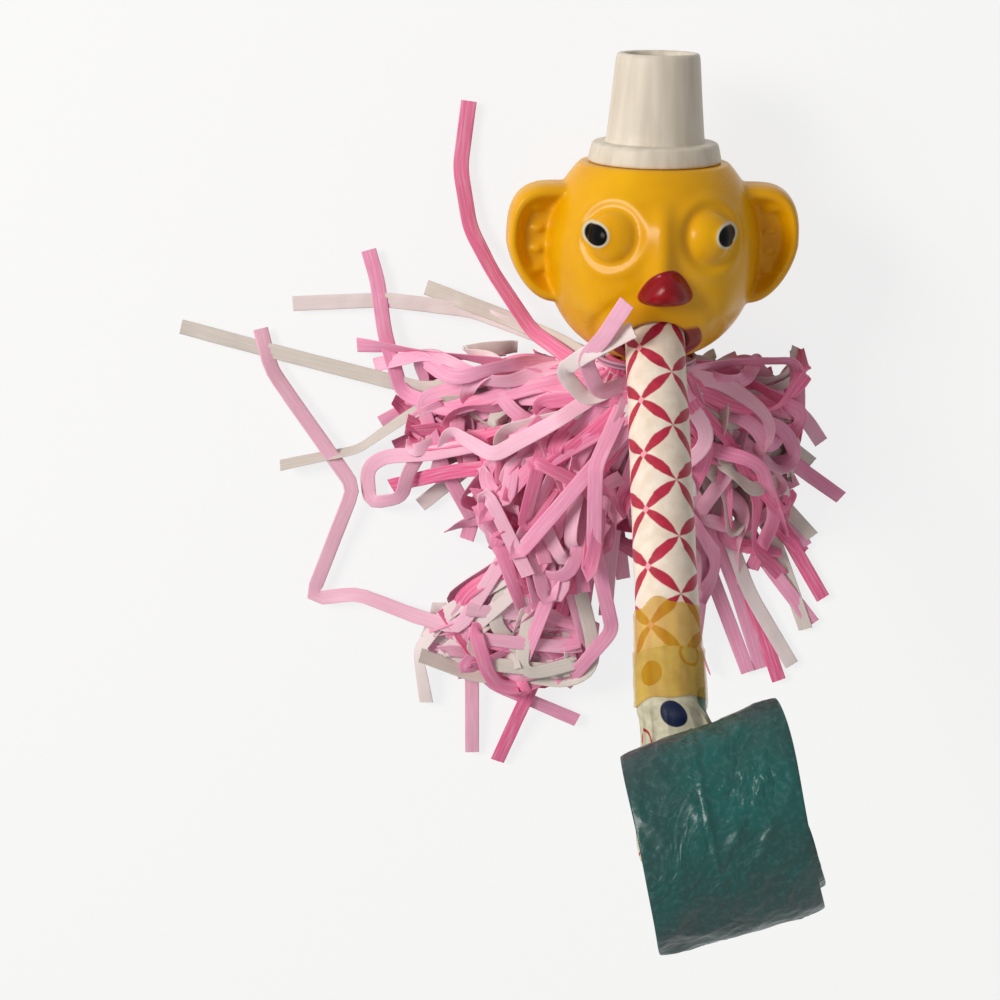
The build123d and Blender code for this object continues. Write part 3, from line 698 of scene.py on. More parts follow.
def make_head():
    """The head melted into one skin, hollowed, bored for hat and tube, and split at its seam."""
    egg = egg_grid()
    shells = [(egg, capped(egg)), ear_shell(-1), ear_shell(1), nose_shell(), lip_shell()]
    whole = make_piece("head_whole", *joined(shells))
    melt = whole.modifiers.new("melt", "REMESH")
    melt.mode = "VOXEL"
    melt.voxel_size = MELT * MM
    soften = whole.modifiers.new("soften", "SMOOTH")
    soften.factor = 0.5
    soften.iterations = 4
    solid = baked(whole, "head_solid")
    cutters = hollow_shell(), bore(SPIGOT_BORE, 10, 20, UP, FRONT), bore(MOUTH_BORE, 8, 24, TUBE, LIFT)
    cutters = [make_piece("head_cutter", *cutter) for cutter in cutters]
    for cutter in cutters:
        cut(solid, cutter, "DIFFERENCE")
    shell = baked(solid, "head_shell")
    profile = [(0.3, -15), (4.6, -15), (4.6, -24.3), (5.5, -24.45), (5.5, -25.8), (0.3, -25.8)]
    neck = make_piece("neck", *closed_lathe(profile, UP, FRONT, 64))
    seam = HEAD[2]
    for name, low, high in (("head_front", seam + SEAM_GAP, 60), ("head_rear", 0, seam - SEAM_GAP)):
        keep = make_piece("half_space", *half_space(low, high))
        half = new_object("half", shell.data.copy())
        cut(half, neck, "UNION")
        cut(half, keep, "INTERSECT")
        made = baked(half, name + "_moulding")
        made.data.materials.clear()
        made.data.materials.append(finishes["yellow_plastic"])
        made.data.polygons.foreach_set("material_index", np.zeros(len(made.data.polygons), np.int32))
        made.data.polygons.foreach_set("use_smooth", np.ones(len(made.data.polygons), bool))
        drop(half, keep)
        settle(made, "blower", "yellow_plastic", name)
    drop(whole, solid, shell, neck, *cutters)


# Hat


def eased(start, corner, stop, steps):
    """Points of a rounded corner."""
    return [(1 - t) ** 2 * start + 2 * t * (1 - t) * corner + t * t * stop for t in np.linspace(0, 1, steps)]


def rounded(points, radius, steps=5):
    """A closed loop of points with each corner eased by about that radius."""
    points = np.asarray(points, float)
    loop = []
    for i, corner in enumerate(points):
        back, ahead = points[i - 1] - corner, points[(i + 1) % len(points)] - corner
        size = min(radius, np.linalg.norm(back) * 0.45, np.linalg.norm(ahead) * 0.45)
        start = corner + back / np.linalg.norm(back) * size
        stop = corner + ahead / np.linalg.norm(ahead) * size
        loop += eased(start, corner, stop, steps)
    return loop


def make_hat():
    """The hat's wall as radius and height: up the spigot, round the brim, up the crown and down its bore."""
    brim = rounded([(6.0, 14.45), (11.5, 14.45), (10.75, 17.7), (8.55, 17.9)], 0.6)[5:18]
    outline = [(6.0, 8.5), (6.0, 14.45), *brim]
    outline += [(8.6, 17.95), (8.38, 18.35), (8.2, 20.0), (7.7, 25.0), (7.2, 30.5), (7.06, 31.7), (6.9, 32.2)]
    outline += [(6.6, 32.4), (5.9, 32.4), (5.6, 32.2), (5.5, 31.8), (5.5, 26.0), (5.5, 20.6), (5.4, 20.4)]
    outline += [(3.75, 20.4), (3.6, 20.3), (3.6, 14.0), (3.6, 8.6), (3.75, 8.45), (5.85, 8.4)]
    made = make_piece("hat_moulding", *closed_lathe(outline, UP, FRONT, 144), ["white_plastic"])
    settle(made, "blower", "white_plastic", "hat_mouthpiece")


# Tube, tape and cuff


def make_sleeve(name, slot, node, turn, s, radii, girth, along):
    """A thin sleeve on the tube. Turn 0 is the viewer's right, and a quarter turn is towards the face."""
    ring = toward(np.cos(turn), SIDE) + toward(np.sin(turn), LIFT)
    outer, inner = (HEAD + TUBE * s[..., None] + toward(radius + 0 * turn, ring) for radius in radii)
    grid = np.concatenate([outer, inner[:, ::-1]], 1)
    u = np.linspace(0, girth, len(grid) + 1)[:, None]
    uv = grid_of(u, np.concatenate([along, along[::-1], along[:1]])[None, :])
    settle(make_piece(name, grid, skin(grid, True), [slot], grid_uv(uv)), "blower", slot, node)


def make_wrap():
    """The printed paper on the tube, its edge lapped underneath."""
    turn = circle(120)[:, None] - math.pi / 2
    s = np.linspace(TUBE_START, TUBE_END - 0.1, 110)[None, :]
    around = grid_of(np.cos(turn) * 5, np.sin(turn) * 5, s)
    lap = 0.1 * (1 - smooth(0.05, 0.12, np.abs(turn + math.pi / 2)))
    radii = (WRAP_OUTER - 0.05 + 0.04 * ripple(around, 9, 3) + lap, WRAP_INNER + 0.01)
    make_sleeve("lattice_wrap", "lattice_paper", "tube_wrap", turn, s, radii, FULL_TURN * WRAP_OUTER, s[0])


def make_tape():
    """The tissue tape, creased along the tube, with an uneven cut edge."""
    turn = circle(150)[:, None]
    share = np.linspace(0, 1, 60)
    round_edge = grid_of(np.cos(turn) * 5, np.sin(turn) * 5)
    low = TAPE_START + 0.45 * ripple(round_edge, 5, 11)
    high = TAPE_STOP + 0.5 * ripple(round_edge, 6, 12)
    s = low + (high - low) * share[None, :]
    around = grid_of(np.cos(turn) * 5, np.sin(turn) * 5, s * 0.35)
    crease = np.abs(ripple(around, 4.5, 13)) * 0.16 + np.abs(ripple(around, 2.2, 14)) * 0.07
    inner = TAPE_RADIUS + 0.36 * smooth(CUFF_START - 1.2, CUFF_START - 0.3, s)
    along = share * (TAPE_STOP - TAPE_START)
    radii = (inner + 0.08 + crease, inner)
    make_sleeve("tissue_tape", "yellow_tissue", "tape_band", turn, s, radii, FULL_TURN * ROUND_TUBE, along)


def make_cuff():
    """The bag's mouth: a pleated collar on the tube, opening flat into the bag. Spotted above, teal below."""
    rows, columns = 90, 168
    turn = circle(columns)[None, :]
    collar = TUBE_END - CUFF_START
    along = np.linspace(0, collar + CUFF_TAPER, rows)[:, None]
    share = np.clip((along - collar) / CUFF_TAPER, 0, 1)
    wide = CUFF_RADIUS + (BAG_HALF_WIDTH - 0.1 - CUFF_RADIUS) * smooth(0, 1, share) ** 0.9
    tall = CUFF_EDGE + (CUFF_RADIUS - CUFF_EDGE) * (1 - share) ** 1.15
    # Pleats at both sides, crumpled paper between
    pleat = np.abs(np.sin(turn * 7 + 1.2 * np.sin(turn * 2))) ** 0.7
    squeeze = smooth(0, 0.12, share) * (1 - smooth(0.7, 1, share))
    pinch = squeeze * pleat * np.abs(np.cos(turn)) ** 2
    x = np.cos(turn) * wide * (1 - 0.08 * pinch)
    n = np.sin(turn) * tall * (1 - 0.45 * pinch)
    n = n + 0.22 * squeeze * np.sign(np.sin(turn)) * np.abs(ripple(grid_of(x, n, along), 6, 21))
    # The cuff turns from the tube's line into the bag's.
    bend = smooth(0, 0.5, share)[..., None]
    centre = HEAD + toward(np.minimum(CUFF_START + along, TUBE_END), TUBE) + toward(share * CUFF_TAPER, BAG)
    way = SIDE * (1 - bend) + ACROSS * bend
    lift = LIFT * (1 - bend) + BAG_LIFT * bend
    outer = centre + toward(x, way) + toward(n, lift)
    inner = centre + toward(x * (1 - CUFF_PAPER / wide), way) + toward(n * (1 - CUFF_PAPER / tall), lift)
    grid = np.concatenate([outer, inner[::-1]])
    u = np.linspace(0, 1, columns + 1)[None, :] * (FULL_TURN * ROUND_TUBE + 20 * smooth(0, 1, share))
    uv = grid_of(u, along)
    uv = np.concatenate([uv, uv[::-1], uv[:1]])
    below = np.sin(turn[0] + math.pi / columns) <= -0.25
    face_material = np.concatenate([np.tile(below, rows), np.ones(rows * columns)])
    slots = ["dotted_paper", "teal_paper"]
    made = make_piece("paper_cuff", grid, skin(grid, True), slots, grid_uv(uv), face_material)
    settle(made, "blower", "dotted_paper", "bag_cuff")


# Rolled bag


def roll_centres():
    """The middle of each quarter of the coil: distance along the bag and height over it."""
    centres = [(CUFF_TAPER + LEAD_LENGTH, ROLL_RADIUS - BAG_THICKNESS / 2)]
    for k in range(1, OUTER_QUARTERS + INNER_QUARTERS):
        heading = math.radians(90 * k)
        x, y = centres[-1]
        centres.append((x + QUARTER_STEP * math.sin(heading), y - QUARTER_STEP * math.cos(heading)))
    return np.array(centres)


CENTRES = roll_centres()


def on_roll(heading_deg, depth):
    """Points of the rolled sheet, at a depth in it: distance along the bag and height over it."""
    k = np.clip((heading_deg // 90).astype(int), 0, OUTER_QUARTERS + INNER_QUARTERS - 1)
    heading = np.radians(heading_deg)
    radius = ROLL_RADIUS - QUARTER_STEP * k - depth
    return CENTRES[k, 0] + radius * np.sin(heading), CENTRES[k, 1] - radius * np.cos(heading)


def pillow(samples):
    """Across a sleeve and back: places from -1 to 1, whether they are outside, and how full the sleeve is."""
    over = np.sin(np.linspace(-math.pi / 2, math.pi / 2, samples))
    across = np.concatenate([over, over[::-1]])
    return across, np.repeat([True, False], samples), np.sqrt(np.clip(1 - np.abs(across) ** 6, 0, 1))[None, :]


def bag_piece(name, s, n, u, uv, slots):
    """The mesh of a flat sleeve of paper: its first side over, its second under, and closed at both ends."""
    grid = TUBE_TIP + toward(s, BAG) + toward(n, BAG_LIFT) + toward(u, ACROSS)
    rows, columns = grid.shape[:2]
    samples = columns // 2
    ends = []
    for base in (0, (rows - 1) * columns):
        for j in range(samples - 1):
            ends.append([base + j, base + j + 1, base + columns - 2 - j, base + columns - 1 - j])
    uv = np.concatenate([uv, uv[:, :1]], 1)
    loop_uv = np.concatenate([grid_uv(uv), np.zeros((4 * len(ends), 2))])
    face_material = np.concatenate([np.tile(np.repeat([0, 1], samples), rows - 1), np.zeros(len(ends))])
    return make_piece(name, grid, skin(grid) + ends, slots, loop_uv, face_material)


def roll_piece(name, first_deg, last_deg, steps, seed, loose):
    """A stretch of the rolled bag, a soft flat sleeve: teal outside, spotted inside, ridged by its spring."""
    across, outside, edge = pillow(96)
    heading = np.linspace(first_deg, last_deg, steps)[:, None]
    length = np.radians(heading - first_deg) * ROLL_RADIUS
    half_width = BAG_HALF_WIDTH - 0.15 + 0.12 * ripple(grid_of(length, seed), 17, seed)
    u = across[None, :] * half_width
    sheet = grid_of(u, length)
    middle = BAG_THICKNESS / 2
    depth = np.where(outside, middle - 0.5 * edge, middle + 0.5 * edge)
    crumple = 0.26 * np.abs(ripple(sheet, 9, seed + 1)) + 0.10 * np.abs(ripple(sheet, 3.6, seed + 2))
    ridge = 0.5 * hump(u + 0.25 * ripple(sheet, 30, seed + 3), -1.3, 0.3) * hump(heading % 360, 195, 50)
    depth = depth + np.where(outside, crumple - 0.18 - ridge, crumple * 0.5) * edge
    trim, skew = 0.1, 1.4
    if loose:
        # The outer turn stands off loosely towards the tube, and is rolled a little askew of the inner turns.
        depth = depth - loose * hump(heading, 248, 50) * (1 + 0.15 * smooth(4.0, 12.0, u))
        depth = depth - 0.25 * loose * hump(heading, 100, 45) * smooth(-12, 12, u)
        trim = 0.1 * (smooth(1, 12, heading) * (1 - smooth(50, 90, heading)) + smooth(270, 310, heading))
        skew = 2.6 * hump(heading, 245, 70) - 1.2 * hump(heading, 95, 60) + 12 * trim
    s, n = on_roll(heading + 0 * u, depth)
    uv = grid_of(u + 30 * seed, length)
    return bag_piece(name, s, n, u * (1 - trim) + skew, uv, ["teal_paper", "dotted_paper"])


def make_roll():
    middle_deg, last_deg = 90 * OUTER_QUARTERS, 90 * (OUTER_QUARTERS + INNER_QUARTERS) - 2
    outer = roll_piece("rolled_bag_outer", 0, middle_deg, 220, 5, ROLL_LOOSE)
    settle(outer, "roll_outer", "teal_paper", "bag_outer_turn")
    inner = roll_piece("rolled_bag_inner", middle_deg, last_deg, 300, 8, 0)
    settle(inner, "roll_inner", "teal_paper", "bag_inner_turns", "bag_end_fold", "recoil_spring")
    for made in (outer, inner):
        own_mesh(made)


def make_lead():
    """The flat bag between cuff and roll, folded short as at rest; the length it has when drawn out is packed
    into that short stretch and carried by its UV.
    """
    t = np.linspace(0, 1, 4001)
    drawn = LEAD_LENGTH * t + UNROLL_LENGTH * t * t * (3 - 2 * t)
    out = np.linspace(0, LEAD_LENGTH + UNROLL_LENGTH, 220)[:, None]
    s = np.interp(out, drawn, t) * LEAD_LENGTH
    across, outside, edge = pillow(36)
    u = across[None, :] * (BAG_HALF_WIDTH - 0.2) + 0 * out
    sheet = grid_of(u, out)
    ends = smooth(0, 6, out) * (1 - smooth(UNROLL_LENGTH - 6, UNROLL_LENGTH, out))
    wave = (0.22 * ripple(sheet, 26, 31) + 0.12 * np.abs(ripple(sheet, 8, 32))) * ends
    n = np.where(outside, 0.42 * edge + 0.2 * hump(u, 0.4, 0.5), -0.42 * edge) + wave * edge
    made = bag_piece("drawn_out_bag", CUFF_TAPER + s, n, u, sheet, ["dotted_paper", "teal_paper"])
    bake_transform(made)
    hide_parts("bag_lead")


# Fringe

RIBBON_WIDTH = 2.8
# Ribbons that lie over each other are parted by this much, for as many layers as this.
LAYER_STEP = 0.13
LAYERS = 11
ROOT_Y = -22.8
RUFF_Y = -21.78
RUFF_INNER = 4.75
RUFF_OUTER = 8.2
RUFF_FOLDS = 9
RUFF_SPAN = math.radians(35)
REACH = 88.0
# Each tuft: angle round the neck, level in the pile, the headings and the share of the reach that bound its
# loose ribbons, and the headings and shares of its long ribbons on the table.
TUFTS = {
    "fringe_left_under": (144, 0, (179, 241), 0.90, ((221, 0.90),)),
    "fringe_left_lower": (108, 1, (167, 234), 0.98, ((197, 0.81), (234, 0.84))),
    "fringe_left_upper": (72, 2, (168, 228), 0.80, ((208, 0.80),)),
    "fringe_left_top": (36, 3, (170, 235), 0.88, ((203, 0.76), (235, 0.72))),
    "fringe_chin_under": (180, 0, (247, 277), 1.00, ((247, 0.90), (257, 1.00), (267, 0.72), (277, 0.64))),
    "fringe_chin_top": (0, 4, (248, 277), 1.00, ((248, 0.86), (256, 1.00), (265, 0.84), (277, 0.68))),
    "fringe_right_under": (216, 0, (-72, -34), 0.80, ((-34, 0.45), (-47, 0.58), (-60, 0.74), (-72, 0.80))),
    "fringe_right_lower": (252, 1, (-69, -28), 0.84, ((-28, 0.40), (-43, 0.52), (-56, 0.68), (-69, 0.84))),
    "fringe_right_upper": (288, 2, (-75, -38), 0.78, ((-38, 0.43), (-51, 0.56), (-64, 0.74), (-75, 0.78))),
    "fringe_right_top": (324, 3, (-80, -46), 0.82, ((-46, 0.45), (-58, 0.58), (-69, 0.82), (-80, 0.70))),
}
# Each side: how much of that reach its long ribbons have, and how many bunched and loose ribbons a tuft has.
SIDES = {"left": (0.62, 24, 8), "chin": (0.72, 24, 10), "right": (0.98, 0, 20)}
WHITE_TUFTS = ("fringe_left_lower", "fringe_right_under", "fringe_right_upper")
# Bunches of tangled ribbon: middle across and up, half sizes, lowest and highest ribbon.
BUNCHES = ((-17, -48, 14, 21, 3, 20), (-23, -80, 19, 11, 1, 8), (-34, -37, 11, 7, 2, 9))
# Ribbons that the photograph shows one by one: corners as across, up, height and twist,
# from the ruff to the free end.
STRAYS = {
    "fringe_left_under": [
        [(-6, -22.8, 13, 0.2), (-14, -20, 9, 0.1), (-31, -15, 3, 0.1), (-47, -13.5, 1.5, 0),
         (-64, -14.5, 0.8, 0)],
        [(-6, -23, 12, 0), (-20, -52, 12, 0.5), (-33, -77, 6, 0.2), (-41.7, -75.2, 4, 0.3),
         (-52.9, -71.4, 2, 0.7), (-62, -72.9, 1.2, 0.1), (-53.1, -49.5, 2.6, 0.1), (-68.2, -26.8, 2, 0.5),
         (-70.1, -19.2, 0.9, 0.2)],
        [(-5, -23, 12, 0), (-14, -50, 13, 0.6), (-23.4, -64.6, 9, 0.4), (-35.5, -74.1, 5, 0.3),
         (-41.1, -83, 3, 0.8), (-39.5, -95, 0.9, 0.2)],
    ],
    "fringe_left_lower": [
        [(-7, -22.8, 15, 0), (-24, -27, 9, 0.2), (-40.3, -29.8, 4, 0.2), (-68.8, -23.2, 1.2, 0),
         (-84.8, -19, 0.8, 0)],
        [(-7, -22.5, 16, 0), (-15, -19, 10, 0.2), (-24, -16.2, 5, 0.3), (-39.4, -11.2, 0.8, 0)],
        [(-7, -23, 16, 0), (-20, -27, 13, 0.5), (-35.5, -30, 8, 0.6), (-42.7, -34.5, 5, 1.0),
         (-52.4, -42.2, 2, 1.2), (-67.1, -45.5, 1.2, 1.0)],
        [(-7, -23, 14, 0), (-24, -24, 12, 0.4), (-40.3, -30.8, 7, 0.3), (-36.7, -42.8, 7, 0.2),
         (-30.7, -55.2, 3, 0.1)],
        [(-6, -23, 15, 0), (-20, -44, 16, 0.4), (-29.5, -53.4, 9, 0.3), (-19.9, -60.9, 13, 0.1),
         (-16.2, -67.9, 12, 0.4), (-21.1, -86.1, 5, 0.9)],
        [(-6, -23, 13, 0), (-18, -56, 8, 0.4), (-33, -79.4, 5, 0.3), (-26.6, -90.2, 2, 0.2),
         (-9.3, -98.7, 0.8, 0)],
    ],
    "fringe_left_upper": [
        [(-6, -22.5, 20, 0), (-12, -22, 15, 0.3), (-19.9, -17.8, 8, 0.4), (-27.3, -7.5, 4, 0.5),
         (-31.4, 0.1, 2, 0.2), (-33.2, 10.8, 1.3, 0), (-31.7, 22.5, 0.8, 0)],
        [(-6, -22.5, 19, 0), (-20, -26, 16, 0.3), (-35.5, -32.4, 9, 0.2), (-43.9, -30.4, 4, 0.4),
         (-47.1, -19.4, 2, 0.1), (-48.3, -10, 1.2, 0), (-49.9, -4.4, 0.8, 0)],
        [(-6, -23, 20, 0), (-24, -36, 14, 0.4), (-38, -41, 8, 0.3), (-47.5, -42.9, 4, 0.2),
         (-50.7, -46, 2, 0.1), (-50.2, -53, 1.6, 0.2), (-44, -51.1, 4, 0.3), (-42.7, -45.3, 6, 0.2),
         (-38, -38, 4, 0.1)],
    ],
    "fringe_left_top": [
        [(-4, -23, 24, 0), (-11, -26, 25, 0.4), (-15.5, -20.4, 27, -0.2), (-12.2, -16.1, 33, -0.5),
         (-4.6, -10.2, 39.2, -0.4)],
        [(-4, -23, 25, 0), (-9, -24, 28, 0.2), (-12, -17, 32, -0.2), (-9.2, -11.8, 37.4, -0.4),
         (-6.0, -5.2, 41.2, -0.4)],
        [(-5, -23, 22, 0), (-16, -30, 24, 0.5), (-27, -38, 19, 0.2), (-35, -36, 10, -0.3),
         (-38, -48, 4, -0.2)],
    ],
    "fringe_chin_under": [
        [(-3, -23, 12, 0), (-18, -55, 7, 0.2), (-30.5, -80.2, 3, 0), (-30.3, -106.1, 0.8, 0)],
        [(-2, -23, 12, 0), (-8, -52, 13, 0.2), (-13.4, -72.8, 8, 0.1), (-16.7, -85.2, 4, 0),
         (-25.2, -108, 0.8, 0)],
    ],
    "fringe_chin_top": [
        [(-3, -23, 25, 0), (-9, -38, 25, 0.3), (-8.5, -54.8, 20, 0.2), (-3.9, -74.4, 13, 0.1),
         (-12.3, -89, 6, 0)],
    ],
}


def ribbon_tree():
    """Sweeps a thin ribbed strip along each path, crinkles it, and gives each strip its own tone."""
    tree = bpy.data.node_groups.new("ribbon_sweep", "GeometryNodeTree")
    face = tree.interface
    face.new_socket("Geometry", in_out="INPUT", socket_type="NodeSocketGeometry")
    for name, size in (("Ribbon Width", RIBBON_WIDTH), ("Ribbon Thickness", 0.1), ("Rib Depth", 0.05),
                       ("Crinkle Height", 0.9), ("Crinkle Length", 5)):
        face.new_socket(name, in_out="INPUT", socket_type="NodeSocketFloat").default_value = size * MM
    face.new_socket("Seed", in_out="INPUT", socket_type="NodeSocketInt")
    face.new_socket("Finish", in_out="INPUT", socket_type="NodeSocketMaterial")
    face.new_socket("Geometry", in_out="OUTPUT", socket_type="NodeSocketGeometry")
    given = add(tree, "NodeGroupInput").node.outputs
    # The strip's cross-section: a flattened circle with ribs
    ring = add(tree, "GeometryNodeCurvePrimitiveCircle", {"Resolution": 18, "Radius": 1.0})
    place = add(tree, "GeometryNodeInputPosition")
    corner = add(tree, "SeparateXYZ", [place]).node.outputs
    square = corner[0]
    for operation, value in (("MULTIPLY", 1.12), ("MINIMUM", 1.0), ("MAXIMUM", -1.0)):
        square = add(tree, "Math " + operation, [square, value])
    half = add(tree, "Math MULTIPLY", [given["Ribbon Width"], 0.5])
    across = add(tree, "Math MULTIPLY", [square, half])
    thick = add(tree, "Math MULTIPLY", [corner[1], given["Ribbon Thickness"]])
    wave = add(tree, "Math MULTIPLY", [square, 9.0])
    wave = add(tree, "Math SINE", [wave])
    ribbed = add(tree, "Math MULTIPLY_ADD", [wave, given["Rib Depth"], thick])
    at = add(tree, "CombineXYZ", [across, ribbed])
    profile = add(tree, "GeometryNodeSetPosition", {"Geometry": ring, "Position": at})
    kept_across = add(tree, "GeometryNodeCaptureAttribute", {"Geometry": profile}).node
    kept_across.capture_items.new("FLOAT", "Across")
    tree.links.new(corner[0], kept_across.inputs["Across"])
    # The path: length for the pattern, and a tone drawn for each strip
    kept_along = add(tree, "GeometryNodeCaptureAttribute", {"Geometry": given["Geometry"]}).node
    kept_along.capture_items.new("FLOAT", "Along")
    kept_along.capture_items.new("FLOAT", "Tone")
    tree.links.new(add(tree, "GeometryNodeSplineParameter", out="Length"), kept_along.inputs["Along"])
    strip = add(tree, "GeometryNodeCurveOfPoint", out="Curve Index")
    tone = add(tree, "FunctionNodeRandomValue", {"ID": strip, "Seed": given["Seed"]}, 1, data_type="FLOAT")
    tree.links.new(tone, kept_along.inputs["Tone"])
    swept = {"Curve": kept_along.outputs["Geometry"], "Profile Curve": kept_across.outputs["Geometry"]}
    swept = add(tree, "GeometryNodeCurveToMesh", {**swept, "Fill Caps": True})
    spread = add(tree, "CombineXYZ", [kept_across.outputs["Across"], kept_along.outputs["Along"]])
    stored = {"Geometry": swept, "Name": "UVMap"}
    mapped = add(tree, "GeometryNodeStoreNamedAttribute", stored, data_type="FLOAT2", domain="CORNER")
    tree.links.new(spread, mapped.node.inputs["Value"])
    stored = {"Geometry": mapped, "Name": "ribbon_tone"}
    toned = add(tree, "GeometryNodeStoreNamedAttribute", stored, data_type="FLOAT")
    tree.links.new(kept_along.outputs["Tone"], toned.node.inputs["Value"])
    # Crinkles lift and lower the swept strip.
    pace = add(tree, "Math DIVIDE", [1.0, given["Crinkle Length"]])
    noise = {"Scale": pace, "Detail": 2.0, "W": given["Seed"]}
    sway = add(tree, "TexNoise", noise, noise_dimensions="4D")
    sway = add(tree, "Math SUBTRACT", [sway, 0.5])
    sway = add(tree, "Math MULTIPLY", [sway, given["Crinkle Height"]])
    lift = add(tree, "CombineXYZ", {2: sway})
    crinkled = add(tree, "GeometryNodeSetPosition", {"Geometry": toned, "Offset": lift})
    soft = add(tree, "GeometryNodeSetShadeSmooth", {"Geometry": crinkled})
    real = add(tree, "GeometryNodeRealizeInstances", {"Geometry": soft})
    done = add(tree, "GeometryNodeSetMaterial", {"Geometry": real, "Material": given["Finish"]})
    add(tree, "NodeGroupOutput", {"Geometry": done})
    return tree


def folded_line(corners, ease, steps=72):
    """A line through corners and their twist, each corner eased as a bent ribbon's is, evenly divided."""
    corners = np.asarray(corners, float)
    line = [corners[0]]
    for before, corner, after in zip(corners, corners[1:], corners[2:]):
        back, ahead = before - corner, after - corner
        start = corner + back * min(ease / np.linalg.norm(back[:3]), 0.48)
        stop = corner + ahead * min(ease / np.linalg.norm(ahead[:3]), 0.48)
        line += eased(start, corner, stop, 7)
    line = np.array(line + [corners[-1]])
    length = np.concatenate([[0], np.cumsum(np.linalg.norm(np.diff(line[:, :3], axis=0), axis=1))])
    places = np.linspace(0, length[-1], steps)
    line = np.stack([np.interp(places, length, line[:, k]) for k in range(4)], 1)
    line[:, 2] = np.maximum(line[:, 2], 0.35 + 0.5 * RIBBON_WIDTH * np.abs(np.sin(line[:, 3])))
    return line


def root_of(draw, place_deg):
    """Where a ribbon leaves the ruff, and the way out from the neck there."""
    place = math.radians(place_deg + draw.uniform(-16, 16))
    radial = np.array((-math.sin(place), 0, math.cos(place)))
    root = HEAD + UP * (ROOT_Y + draw.uniform(-1.0, 1.2))
    return root + radial * draw.uniform(RUFF_INNER + 0.5, RUFF_OUTER - 0.5), radial


def long_ribbon(draw, place_deg, heading_deg, reach, level):
    """A ribbon that falls to the table and lies along it, with one or two slight bends."""
    root, radial = root_of(draw, place_deg)
    heading = math.radians(heading_deg)
    along = np.array((math.cos(heading), math.sin(heading), 0))
    aside = np.array((-along[1], along[0], 0))
    corners = [(*root, draw.uniform(-0.3, 0.3))]
    corners.append((*(root - 2.2 * UP + radial * 1.4 + along * 3), draw.uniform(-0.4, 0.4)))
    landing = min(16 + 5 * level, 0.6 * reach)
    for share, height in ((0.5, 0.55 * root[2]), (1.0, 1.4 + level)):
        spot = root + along * landing * share + aside * draw.uniform(-2, 2)
        corners.append((spot[0], spot[1], height, draw.uniform(-0.7, 0.7)))
    for share in (0.55, 1.0):
        spot = root + along * (landing + (reach - landing) * share) + aside * draw.uniform(-3.5, 3.5) * share
        corners.append((spot[0], spot[1], 0.6 + 0.8 * level * (1 - share), draw.uniform(-0.25, 0.25)))
    return folded_line(corners, 4.0)


def loose_ribbon(draw, place_deg, heading_deg, reach, level):
    """A ribbon of the tangled tuft: it arches out of the ruff, folds over a few times and ends anywhere."""
    root, radial = root_of(draw, place_deg)
    heading = math.radians(heading_deg)
    swell = draw.uniform(0.2, 1.0)
    corners = [(*root, draw.uniform(-0.4, 0.4))]
    at = root - 2.0 * UP + radial * 1.5
    folds = int(draw.integers(4, 7))
    for k in range(folds):
        share = (k + 1) / folds
        way = heading + draw.normal(0, 0.45 + 0.95 * share)
        at = at + np.array((math.cos(way), math.sin(way), 0)) * reach / folds * draw.uniform(0.8, 1.3)
        arch = 13 * swell * math.sin(math.pi * min(share * 1.05, 1)) * draw.uniform(0.4, 1.0)
        at[2] = max((7 + 2.5 * level) * (1 - share) + arch, 0.7)
        at[0] = np.clip(at[0], -58, 30)
        at[1] = np.clip(at[1], -96, -22)
        corners.append((*at, draw.uniform(-1.5, 1.5)))
    return folded_line(corners, draw.uniform(2.0, 7.0))


def bunched_ribbon(draw, place_deg):
    """A ribbon caught up in one of the bunches on the left: by the tube, at its far end, or to the side."""
    root, radial = root_of(draw, place_deg)
    pick = int(draw.choice(3, p=(0.64, 0.21, 0.15)))
    x, y, half_wide, half_tall, low, high = BUNCHES[pick]
    corners = [(*root, draw.uniform(-0.4, 0.4))]
    corners.append((*(root - 3.0 * UP + radial * 1.6), draw.uniform(-0.5, 0.5)))
    if pick == 1:
        ranges = ((-17, -8), (-60, -48), (7, 15), (-1, 1))
        corners.append([draw.uniform(*ends) for ends in ranges])
    for _ in range(int(draw.integers(3, 6))):
        turn, out = draw.uniform(0, FULL_TURN), math.sqrt(draw.uniform(0.1, 1))
        spot = (x + half_wide * out * math.cos(turn), y + half_tall * out * math.sin(turn))
        corners.append((*spot, draw.uniform(low, high), draw.uniform(-0.9, 0.9)))
    return folded_line(corners, draw.uniform(3.0, 10.0))


def ruff_shell(place_deg):
    """One slice of the gathered ribbon round the neck: folded loops side by side."""
    rows = 26
    angle = math.radians(place_deg) + np.linspace(-RUFF_SPAN / 2, RUFF_SPAN / 2, rows)[:, None]
    turn = circle(40)[None, :]
    fold = np.sin(np.linspace(0, RUFF_FOLDS * math.pi, rows))[:, None]
    half = (RUFF_OUTER - RUFF_INNER) / 2 - 0.4
    radius = (RUFF_INNER + RUFF_OUTER) / 2 + np.cos(turn) * (half + 0.22 * fold)
    y = RUFF_Y + np.sin(turn) * (2.2 + 0.15 * fold)
    grid = HEAD + grid_of(-radius * np.sin(angle), y, radius * np.cos(angle))
    return grid, capped(grid)


